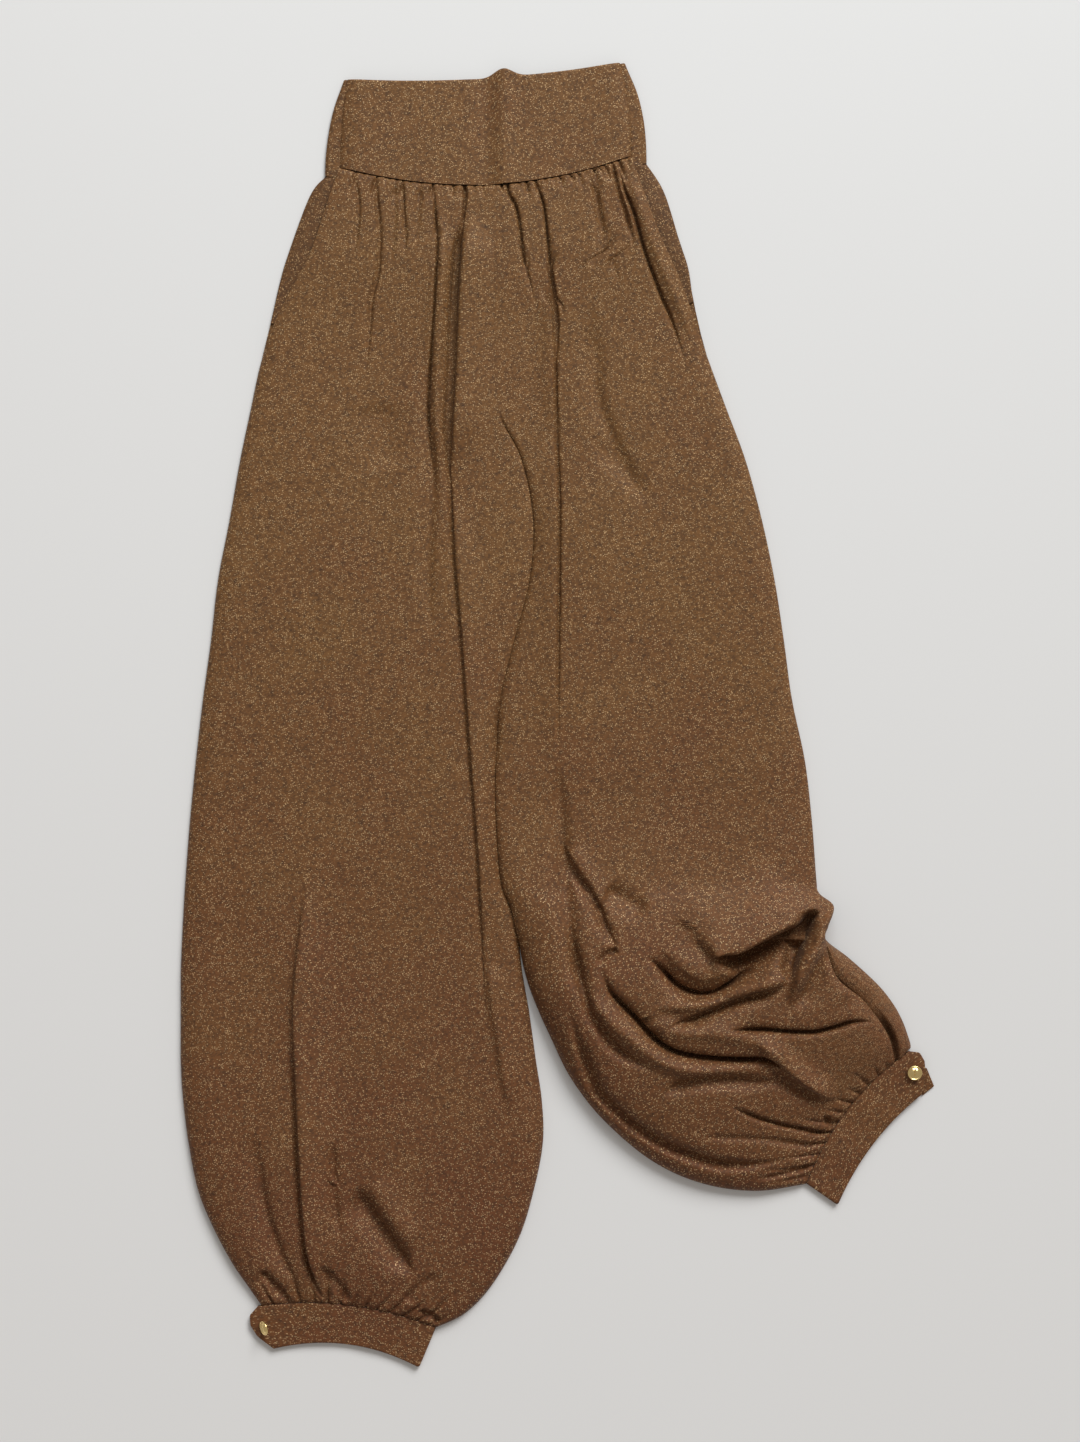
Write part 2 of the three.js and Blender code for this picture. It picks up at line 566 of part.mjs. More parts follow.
// The back of the band rolls up a little at its two side folds, outside the front's side seams.
// reach and along: how far from the fold to the seam, in x and in y. outside: how far the curl
// stays clear of the seam. rise: its height over the band's back.
const bandCurl = columns(['reach', 'outside', 'along', 'rise'], [
  [0, 0, 0, 0],
  [0.35, 0, 0.35, 2.2],
  [1, 0.9, 0.93, 2.4],
  [1, 0.4, 0.97, 0],
]);
function bandBack() {
  const top = bandLevels.map(level => {
    const ends = bandRow(level, [0, 1], false);
    const front = bandRow(level, [0, 1], true);
    const curl = (fold, seam, outward) => bandCurl.map(({ reach, outside, along, rise }) => ({
      x: mix(fold.x, seam.x + outward * outside, reach),
      y: mix(fold.y, seam.y, along),
      z: bandCloth + rise,
    }));
    const middle = bandRow(level, even(bandBackAcross).slice(2, -2), false)
      .map(p => ({ ...p, z: bandCloth }));
    const points = [
      ...curl(ends[0], front[0], -1),
      ...middle,
      ...curl(ends[1], front[1], 1).reverse(),
    ];
    return points.map((p, i) => ({ ...p, u: i / (points.length - 1) }));
  });
  return wall(top, flat(top, 0));
}

// Cuffs: one strip of doubled knit, folded back on itself at the closed end, with a rounded
// tab in front and the underlap below it at the other end.
const cuffs = {
  left: {
    leg: leftLeg, closedAt: 1, tabAt: -0.02, hemClosed: [-119, -559.5], hemTab: [-244, -543],
    hemBow: 12, tabReach: 13, underReach: 5,
  },
  right: {
    leg: rightLeg, closedAt: 0, tabAt: 1.12, hemClosed: [240, -420], hemTab: [312, -325],
    hemBow: 7.5, tabReach: 11, underReach: 17,
  },
};
const foldOver = bandCloth + seamGap / 2;
const cuffGap = seamGap * 1.3;
const cuffStations = 12;
const turnSteps = 4;
// Share of the strip over which its tab and its underlap reach out.
const tabRun = 1 / 7;
const headingStep = 0.02;
const cuffAcross = [0, 0.25, 0.5, 0.75, 1];
const tabShape = [0, 0.8, 1, 0.8, 0];
const underShape = [0, 0.5, 0.85, 1, 0.25];
function cuffPoint(cuff, s, w, reach) {
  const row = cuff.leg.rows.at(-1);
  const seam = place(...cuff.leg.ends(row), row.bow, mix(cuff.tabAt, cuff.closedAt, s));
  const [tabX, tabY] = cuff.hemTab;
  const [closedX, closedY] = cuff.hemClosed;
  const west = cuff.closedAt ? { x: tabX, y: tabY } : { x: closedX, y: closedY };
  const east = cuff.closedAt ? { x: closedX, y: closedY } : { x: tabX, y: tabY };
  const hem = place(west, east, cuff.hemBow, cuff.closedAt ? s : 1 - s);
  const gap = cuffGap / Math.hypot(hem.x - seam.x, hem.y - seam.y);
  const down = mix(gap, 1, w);
  const outward = reach * clamp(1 - s / tabRun);
  const strip = Math.hypot(closedX - tabX, closedY - tabY);
  return {
    x: mix(seam.x, hem.x, down) + outward * (tabX - closedX) / strip,
    y: mix(seam.y, hem.y, down) + outward * (tabY - closedY) / strip,
  };
}
function cuff(spec) {
  const path = [];
  for (let i = 0; i <= cuffStations; i++) path.push({ s: i / cuffStations, turn: 0 });
  for (let i = 1; i <= turnSteps; i++) path.push({ s: 1, turn: i / turnSteps });
  for (let i = cuffStations - 1; i >= 0; i--) path.push({ s: i / cuffStations, turn: 1 });
  const strip = Math.hypot(spec.hemClosed[0] - spec.hemTab[0], spec.hemClosed[1] - spec.hemTab[1]);
  const inset = 1 - foldOver / strip;
  const shell = radius => path.map(({ s, turn }) => cuffAcross.map((w, i) => {
    const reach = turn ? spec.underReach * underShape[i] : spec.tabReach * tabShape[i];
    const p = cuffPoint(spec, s * inset, w, reach);
    const before = cuffPoint(spec, inset - headingStep, w, 0);
    const end = cuffPoint(spec, inset, w, 0);
    const out = radius * Math.sin(Math.PI * turn) / Math.hypot(end.x - before.x, end.y - before.y);
    return {
      x: p.x + (end.x - before.x) * out,
      y: p.y + (end.y - before.y) * out,
      z: foldOver + radius * Math.cos(Math.PI * turn),
      u: w,
    };
  }));
  const outer = shell(foldOver);
  const inner = shell(seamGap / 2);
  return spec.closedAt ? wall(inner, outer) : wall(outer, inner);
}

// Domed metal button on a short shank, its face dished inside a raised rim.
const buttonProfile = columns(['radius', 'height'], [
  [0, 0], [1.6, 0], [1.6, 1.8], [4.6, 2.2], [buttonRadius, 3], [buttonRadius, 3.7],
  [5.6, 4.3], [4.7, 4.2], [2.4, 4.8], [0, 5],
]);
const buttonSides = 20;
function button() {
  const profile = buttonProfile.map(({ radius, height }) => new THREE.Vector2(radius, height));
  const geometry = new THREE.LatheGeometry(profile, buttonSides);
  geometry.rotateX(Math.PI / 2);
  return geometry;
}
// The left button has flopped over on its thread, so that its middle is higher.
const floppedRise = 3.45;
const buttonPlaces = columns(['name', 'x', 'y', 'z', 'tilt', 'turn'], [
  ['button_left', -248.5, -526, bandBed + seamGap + floppedRise, -0.95, 0.2],
  ['button_right', 307, -307, bandBed + seamGap, 0, 0],
]);

const knitRoughness = 0.85;
const goldRoughness = 0.3;
function addPiece(group, name, geometry, color) {
  const metal = color === gold;
  const material = new THREE.MeshStandardMaterial({
    color, roughness: metal ? goldRoughness : knitRoughness, metalness: metal ? 1 : 0,
  });
  const mesh = new THREE.Mesh(geometry, material);
  mesh.name = name;
  group.add(mesh);
  return mesh;
}

const trousers = new THREE.Group();
addPiece(trousers, 'waistband_front', bandFront(), knit);
addPiece(trousers, 'waistband_back', bandBack(), knitDark);
addPiece(trousers, 'leg_left_front', legFront(leftLeg), knit);
addPiece(trousers, 'leg_left_back', leftBack(), knitDark);
addPiece(trousers, 'leg_right_front', legFront(rightLeg), knit);
addPiece(trousers, 'leg_right_back', rightBack(), knitDark);
addPiece(trousers, 'pocket_left', pocket(leftLeg), knitDark);
addPiece(trousers, 'pocket_right', pocket(rightLeg), knitDark);
addPiece(trousers, 'cuff_left', cuff(cuffs.left), knit);
addPiece(trousers, 'cuff_right', cuff(cuffs.right), knit);
for (const spot of buttonPlaces) {
  const mesh = addPiece(trousers, spot.name, button(), gold);
  mesh.position.set(spot.x, spot.y, spot.z);
  mesh.rotation.set(0, spot.tilt, spot.turn, 'ZYX');
}

export default trousers;
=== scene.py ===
import math

import bmesh
import bpy
import numpy as np
from mathutils import Matrix, Vector, noise


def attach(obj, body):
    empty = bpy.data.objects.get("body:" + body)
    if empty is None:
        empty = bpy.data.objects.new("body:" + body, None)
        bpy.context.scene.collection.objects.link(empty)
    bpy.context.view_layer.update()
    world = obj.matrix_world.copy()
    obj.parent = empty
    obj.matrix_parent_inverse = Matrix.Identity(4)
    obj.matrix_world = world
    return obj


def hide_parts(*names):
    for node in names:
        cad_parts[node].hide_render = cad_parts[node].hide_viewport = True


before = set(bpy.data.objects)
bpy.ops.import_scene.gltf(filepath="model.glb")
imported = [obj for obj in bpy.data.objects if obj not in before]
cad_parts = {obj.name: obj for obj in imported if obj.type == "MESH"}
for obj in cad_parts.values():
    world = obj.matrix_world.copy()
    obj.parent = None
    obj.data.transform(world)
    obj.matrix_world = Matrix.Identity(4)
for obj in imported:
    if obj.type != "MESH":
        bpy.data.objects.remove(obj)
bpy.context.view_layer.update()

# The table that the trousers are laid out on: a plain, pale, matt sheet of board, far wider
# than the camera sees. It lies just under the cloth.
table_half = 3.0
table_drop = 0.0004
table_grey = (0.74, 0.735, 0.73, 1)
table_roughness = 0.9


def mesh_from(bm, name):
    """A named mesh of what was modelled."""
    mesh = bpy.data.meshes.new(name)
    bm.to_mesh(mesh)
    bm.free()
    return mesh


def link(name, mesh):
    """A new object for a mesh, in the scene."""
    piece = bpy.data.objects.new(name, mesh)
    bpy.context.scene.collection.objects.link(piece)
    return piece


bm = bmesh.new()
bmesh.ops.create_grid(bm, x_segments=1, y_segments=1, size=table_half)
bmesh.ops.translate(bm, verts=bm.verts, vec=(0, 0, -table_drop))
table = link("table", mesh_from(bm, "table"))
board = bpy.data.materials.new("board")
board.use_nodes = True
board.node_tree.nodes["Principled BSDF"].inputs["Base Color"].default_value = table_grey
board.node_tree.nodes["Principled BSDF"].inputs["Roughness"].default_value = table_roughness
table.data.materials.append(board)

# Daylight in a pale room: an even warm sky, a high window beyond the waistband that sends wide
# soft rays, and a second lamp that brightens that end of the table. The camera looks straight
# down from two metres.
sky_colour = (1.0, 0.945, 0.885, 1)
sky_strength = 0.37
scene = bpy.context.scene
scene.view_settings.view_transform = "Standard"
room = bpy.data.worlds.new("room")
room.use_nodes = True
room.node_tree.nodes["Background"].inputs["Color"].default_value = sky_colour
room.node_tree.nodes["Background"].inputs["Strength"].default_value = sky_strength
scene.world = room


def lamp(name, kind, place, target, **settings):
    """A lamp that faces its target."""
    light = bpy.data.lights.new(name, kind)
    for key, value in settings.items():
        setattr(light, key, value)
    made = bpy.data.objects.new(name, light)
    made.location = place
    made.rotation_euler = (Vector(target) - Vector(place)).to_track_quat("-Z", "Y").to_euler()
    scene.collection.objects.link(made)


lamp("window", "SUN", (1.0, 2.0, 1.55), (0, 0, 0), energy=2.13, angle=0.45,
     color=(0.985, 0.978, 0.976))
lamp("skylight", "AREA", (0.3, 1.9, 1.6), (0, 0.2, 0), shape="SQUARE", size=1.5, energy=24,
     color=(0.88, 0.96, 1.0))

photo_middle = (-0.0155, -0.0043)
photo_height = 1.240
camera_height = 2.0
camera_data = bpy.data.cameras.new("camera")
camera_data.lens = camera_data.sensor_width * camera_height / photo_height
camera = bpy.data.objects.new("camera", camera_data)
camera.location = (*photo_middle, camera_height)
scene.collection.objects.link(camera)
scene.camera = camera

# Leg fronts: two large panels of fine jersey with a metallic yarn, gathered into the waistband
# and into the cuffs, and sewn to each other down the middle. The left one lies nearly flat and
# the right one is drawn up above its cuff.
cloth = 0.0009
# Heights of the front's face: the least it has over the back, and at an edge that lies free.
bed = 0.0033
edge_height = 0.0019

# The line where the two fronts meet, from the waist seam to the fork.
middle_seam = [
    (-0.0545, 0.455), (-0.0545, 0.433), (-0.0545, 0.39), (-0.0545, 0.365), (-0.0545, 0.334),
    (-0.0545, 0.302), (-0.0515, 0.262), (-0.032, 0.22), (-0.022, 0.169), (-0.025, 0.117),
    (-0.038, 0.065), (-0.05, 0.014), (-0.053, -0.038), (-0.0525, -0.089), (-0.0485, -0.141),
    (-0.04, -0.165), (-0.034, -0.194),
]
# Sections across a leg: the front's outer edge x, y, the leg's outer fold x, y, the bow, the
# heights above the bed at mid-width and at the outer edge, and the distances over which the
# front rounds at its outer and its inner edge.
left_outer = [
    (-0.187, 0.47, -0.2, 0.463, -0.005, 0.0085, 0.0075, 0.012, 0),
    (-0.195, 0.447, -0.213, 0.447, -0.003, 0.008, 0.007, 0.014, 0),
    (-0.211, 0.399, -0.231, 0.399, 0, 0.008, 0.007, 0.016, 0),
    (-0.225, 0.372, -0.239, 0.372, 0, 0.007, 0.006, 0.016, 0),
    (-0.243, 0.337, -0.247, 0.337, 0, 0.0055, 0.0035, 0.016, 0),
    (-0.255, 0.304, -0.255, 0.304, 0, 0.005, 0, 0.016, 0),
    (-0.264, 0.263, -0.264, 0.263, 0, 0.005, 0, 0.016, 0),
    (-0.273, 0.22, -0.273, 0.22, 0, 0.005, 0, 0.016, 0.008),
    (-0.282, 0.169, -0.282, 0.169, 0, 0.005, 0, 0.018, 0.014),
    (-0.292, 0.117, -0.292, 0.117, 0, 0.005, 0, 0.018, 0.014),
    (-0.298, 0.065, -0.298, 0.065, 0, 0.005, 0, 0.018, 0.014),
    (-0.305, 0.014, -0.305, 0.014, 0, 0.005, 0, 0.02, 0.014),
    (-0.311, -0.038, -0.311, -0.038, 0, 0.005, 0, 0.02, 0.014),
    (-0.316, -0.089, -0.316, -0.089, 0, 0.0055, 0, 0.02, 0.014),
    (-0.32, -0.141, -0.32, -0.141, 0, 0.006, 0, 0.022, 0.014),
    (-0.3215, -0.165, -0.3215, -0.165, 0, 0.006, 0, 0.022, 0.014),
    (-0.323, -0.194, -0.323, -0.194, 0, 0.006, 0, 0.022, 0.014),
    (-0.324, -0.222, -0.324, -0.222, 0, 0.0065, 0, 0.022, 0.014),
    (-0.324, -0.253, -0.324, -0.253, 0, 0.007, 0, 0.024, 0.016),
    (-0.324, -0.296, -0.324, -0.296, 0, 0.008, 0, 0.026, 0.02),
    (-0.322, -0.33, -0.322, -0.33, 0, 0.009, 0, 0.028, 0.022),
    (-0.317, -0.369, -0.317, -0.369, 0, 0.01, 0, 0.03, 0.024),
    (-0.309, -0.408, -0.309, -0.408, 0, 0.01, 0, 0.03, 0.026),
    (-0.296, -0.44, -0.296, -0.44, 0.003, 0.01, 0, 0.03, 0.028),
    (-0.28, -0.47, -0.28, -0.47, 0.006, 0.009, 0, 0.026, 0.026),
    (-0.267, -0.489, -0.267, -0.489, 0.009, 0.007, 0, 0.02, 0.02),
    (-0.255, -0.506, -0.255, -0.506, 0.01, 0.0045, 0, 0.012, 0.012),
]
left_inner = [
    (-0.0305, -0.222), (-0.025, -0.253), (-0.019, -0.296), (-0.014, -0.33), (-0.013, -0.366),
    (-0.021, -0.408), (-0.034, -0.449), (-0.057, -0.489), (-0.08, -0.513), (-0.104, -0.525),
]
right_outer = [
    (0.0625, 0.48, 0.076, 0.474, -0.004, 0.0085, 0.0075, 0.012, 0),
    (0.073, 0.45, 0.091, 0.45, -0.002, 0.008, 0.007, 0.014, 0),
    (0.0885, 0.409, 0.104, 0.409, 0, 0.008, 0.007, 0.016, 0),
    (0.1, 0.384, 0.112, 0.384, 0, 0.007, 0.006, 0.016, 0),
    (0.112, 0.354, 0.1165, 0.356, 0, 0.0055, 0.0035, 0.016, 0),
    (0.128, 0.309, 0.128, 0.309, 0, 0.005, 0, 0.016, 0),
    (0.145, 0.263, 0.145, 0.263, 0, 0.005, 0, 0.016, 0),
    (0.161, 0.22, 0.161, 0.22, 0, 0.005, 0, 0.016, 0.006),
    (0.175, 0.169, 0.175, 0.169, 0, 0.005, 0, 0.018, 0.01),
    (0.186, 0.117, 0.186, 0.117, 0, 0.005, 0, 0.018, 0.01),
    (0.194, 0.065, 0.194, 0.065, 0, 0.005, 0, 0.018, 0.01),
    (0.201, 0.014, 0.201, 0.014, 0, 0.005, 0, 0.018, 0.01),
    (0.212, -0.038, 0.212, -0.038, 0, 0.0055, 0, 0.018, 0.01),
    (0.218, -0.089, 0.218, -0.089, 0, 0.006, 0, 0.018, 0.012),
    (0.222, -0.141, 0.222, -0.141, 0, 0.01, 0, 0.02, 0.02),
    (0.224, -0.152, 0.224, -0.152, 0, 0.015, 0.003, 0.022, 0.04),
    (0.236, -0.163, 0.236, -0.163, 0, 0.02, 0.006, 0.024, 0.06),
    (0.23, -0.18, 0.2305, -0.18, 0, 0.024, 0.011, 0.026, 0.08),
    (0.227, -0.19, 0.23, -0.192, 0, 0.027, 0.019, 0.03, 0.09),
    (0.236, -0.221, 0.25, -0.208, 0, 0.028, 0.0175, 0.032, 0.09),
    (0.259, -0.241, 0.274, -0.23, 0.002, 0.028, 0.0105, 0.036, 0.09),
    (0.27, -0.254, 0.287, -0.246, 0.003, 0.026, 0.009, 0.04, 0.09),
    (0.277, -0.264, 0.295, -0.26, 0.004, 0.022, 0.009, 0.044, 0.09),
    (0.283, -0.275, 0.3, -0.273, 0.006, 0.017, 0.008, 0.04, 0.07),
    (0.286, -0.285, 0.303, -0.284, 0.008, 0.011, 0.007, 0.03, 0.04),
    (0.2885, -0.297, 0.3, -0.2878, 0.009, 0.005, 0.004, 0.016, 0.016),
]
right_inner = [
    (-0.028, -0.222), (-0.019, -0.248), (-0.005, -0.279), (0.011, -0.311), (0.038, -0.346),
    (0.079, -0.381), (0.122, -0.401), (0.169, -0.408), (0.213, -0.402),
]
# The section where the drawn-up stretch starts.
heap_start = 14
# The left front lies over the right one from lap_top down to lap_turn, and under it from there
# down to lap_foot; each lap comes and goes over a short way. How far the lower edge runs on, how
# far the upper one is kept off it sideways, and how far it rises over it.
lap_top, lap_turn, lap_foot = 0.29, -0.01, -0.2
top_fade, turn_fade, foot_fade = 0.03, 0.04, 0.02
lap_reach = 0.003
lap_clearance = 0.0004
lap_rise = 0.0028
# Height of the cloth at the waist and cuff seams, how soon it puffs up from them, and how far
# it runs on under the band and the cuffs.
waist_height = 0.0054
cuff_height = 0.0042
seam_puff = 0.0042
seam_tuck = 0.0011
# How far in from an edge the cloth has rounded up, the folds have begun, and the lift of the
# outer edge has its full height.
edge_round = 0.004
fold_margin = 0.01
lift_margin = 0.04
# A lift of lift_free lets the folds run out to the edge. Below least_lift an edge lies on the
# back, and below least_roll it has no roll of its own.
lift_free = 0.008
least_lift = 0.001
least_roll = 0.001

# Folds run through the places in their list. rise is the height of a ridge, or of a trough
# where it is below 0; soft and crisp are its half-widths on the left and on the right of the
# way it runs; lean is how far a ridge's crest, or the lip on a trough's soft side, leans over
# to the crisp side. A last value above 2 gives a trough a flat bottom and steep sides.
left_folds = [
    # The deep pleat at the waist: the line it starts as, the dark gap, and the crest east of it.
    ([(-0.08, 0.4575), (-0.0791, 0.4455), (-0.0804, 0.4334), (-0.0821, 0.4162)],
      -0.005, 0.0013, 0.0013, 0),
    ([(-0.0817, 0.4248), (-0.0843, 0.4068), (-0.0864, 0.3836), (-0.0881, 0.3578),
      (-0.0894, 0.3234), (-0.0907, 0.289), (-0.0925, 0.2571), (-0.0933, 0.2288),
      (-0.0937, 0.1961)], -0.011, 0.0044, 0.0044, 0.002, 4),
    ([(-0.0731, 0.4309), (-0.0765, 0.4068), (-0.0783, 0.3836), (-0.08, 0.3578), (-0.0817, 0.3234),
      (-0.0834, 0.289), (-0.0851, 0.2571), (-0.0869, 0.2288), (-0.0877, 0.1944)],
      0.006, 0.018, 0.006, 0),
    # The flap between that gap and the crease west of it.
    ([(-0.1006, 0.4309), (-0.0989, 0.3904), (-0.1006, 0.3578), (-0.1032, 0.3148),
      (-0.1049, 0.2683), (-0.1032, 0.2288), (-0.1015, 0.1858)], 0.0055, 0.006, 0.006, 0),
    ([(-0.1066, 0.4575), (-0.1049, 0.4352), (-0.1036, 0.4197), (-0.1023, 0.4008),
      (-0.1036, 0.3793), (-0.1049, 0.3543), (-0.1075, 0.3148), (-0.1101, 0.2683),
      (-0.1092, 0.2331), (-0.1066, 0.2012)], -0.0055, 0.0013, 0.002, 0.001),
    ([(-0.1066, 0.332), (-0.1101, 0.2683), (-0.1071, 0.203), (-0.1109, 0.1307),
      (-0.1084, 0.0602)], -0.003, 0.004, 0.008, 0),
    # The long fold that runs on down the inside of the leg.
    ([(-0.0886, 0.1858), (-0.0843, 0.1342), (-0.0791, 0.0654), (-0.074, -0.0034),
      (-0.0688, -0.0722), (-0.0628, -0.1582), (-0.0593, -0.2313)], 0.0035, 0.014, 0.004, 0.001),
    ([(-0.0937, 0.2374), (-0.092, 0.203), (-0.0886, 0.1428), (-0.0826, 0.074), (-0.0783, 0.0138),
      (-0.0731, -0.055), (-0.0679, -0.1238), (-0.0645, -0.2098), (-0.0619, -0.2614)],
      -0.004, 0.0013, 0.003, 0.0008),
    ([(-0.0593, -0.2098), (-0.0533, -0.2528), (-0.0464, -0.2958), (-0.0404, -0.3388)],
      0.0035, 0.012, 0.005, 0.001),
    # Shorter creases below the gathers.
    ([(-0.1548, 0.461), (-0.1548, 0.4438), (-0.1531, 0.4248), (-0.1522, 0.4068),
      (-0.1539, 0.3793), (-0.1591, 0.3578), (-0.1617, 0.3234), (-0.1651, 0.289)],
      -0.0032, 0.0015, 0.003, 0),
    ([(-0.1729, 0.4592), (-0.1703, 0.4403), (-0.1707, 0.4231), (-0.172, 0.4111),
      (-0.1741, 0.3973)], -0.0025, 0.0013, 0.003, 0),
    ([(-0.1324, 0.4575), (-0.1324, 0.4395), (-0.1307, 0.4162), (-0.1307, 0.3956)],
      -0.003, 0.0013, 0.0026, 0),
    ([(-0.1385, 0.4524), (-0.1393, 0.4395), (-0.1402, 0.4162), (-0.1436, 0.3836)],
      -0.0022, 0.002, 0.003, 0),
    ([(-0.1178, 0.4524), (-0.1187, 0.4395), (-0.1204, 0.4197), (-0.1204, 0.4042)],
      -0.002, 0.002, 0.003, 0),
    ([(-0.1522, 0.2683), (-0.1505, 0.2485), (-0.1471, 0.2279), (-0.1402, 0.2116)],
      -0.0025, 0.018, 0.018, 0),
    # The balloon at the bottom.
    ([(-0.2141, -0.135), (-0.2219, -0.2657), (-0.2167, -0.3818), (-0.2116, -0.4481),
      (-0.1987, -0.4997)], 0.0075, 0.018, 0.005, 0.003),
    ([(-0.2253, -0.2442), (-0.2219, -0.3216), (-0.2193, -0.3732), (-0.2159, -0.4266),
      (-0.2107, -0.4696), (-0.2012, -0.5014)], -0.008, 0.0022, 0.0055, 0.0015),
    ([(-0.1935, -0.3646), (-0.1926, -0.3861), (-0.1918, -0.4162), (-0.1858, -0.4472)],
      -0.0045, 0.004, 0.002, 0),
    ([(-0.2623, -0.3552), (-0.258, -0.3999), (-0.2477, -0.4403), (-0.2305, -0.485)],
      -0.0035, 0.008, 0.008, 0),
    ([(-0.2546, -0.4747), (-0.2477, -0.4807), (-0.2399, -0.4902), (-0.2288, -0.5022)],
      -0.007, 0.0025, 0.005, 0),
    ([(-0.1711, -0.4033), (-0.1617, -0.4214), (-0.1462, -0.4438), (-0.1342, -0.461),
      (-0.1238, -0.4782)], -0.010, 0.0055, 0.012, 0.001),
    ([(-0.1599, -0.3973), (-0.1497, -0.4145), (-0.1342, -0.4369), (-0.1221, -0.4558)],
      0.0035, 0.012, 0.006, 0),
    ([(-0.1187, -0.5091), (-0.1101, -0.5126), (-0.1006, -0.5194)], -0.006, 0.002, 0.003, 0),
    ([(-0.2546, -0.3775), (-0.2511, -0.4162), (-0.2374, -0.4592), (-0.2219, -0.4893)],
      -0.0025, 0.003, 0.004, 0),
    ([(-0.203, -0.4696), (-0.1926, -0.4807), (-0.1832, -0.4936), (-0.1789, -0.5022)],
      -0.004, 0.003, 0.006, 0),
    ([(-0.1316, -0.5022), (-0.1187, -0.4885), (-0.1015, -0.4764)], -0.003, 0.004, 0.006, 0),
]
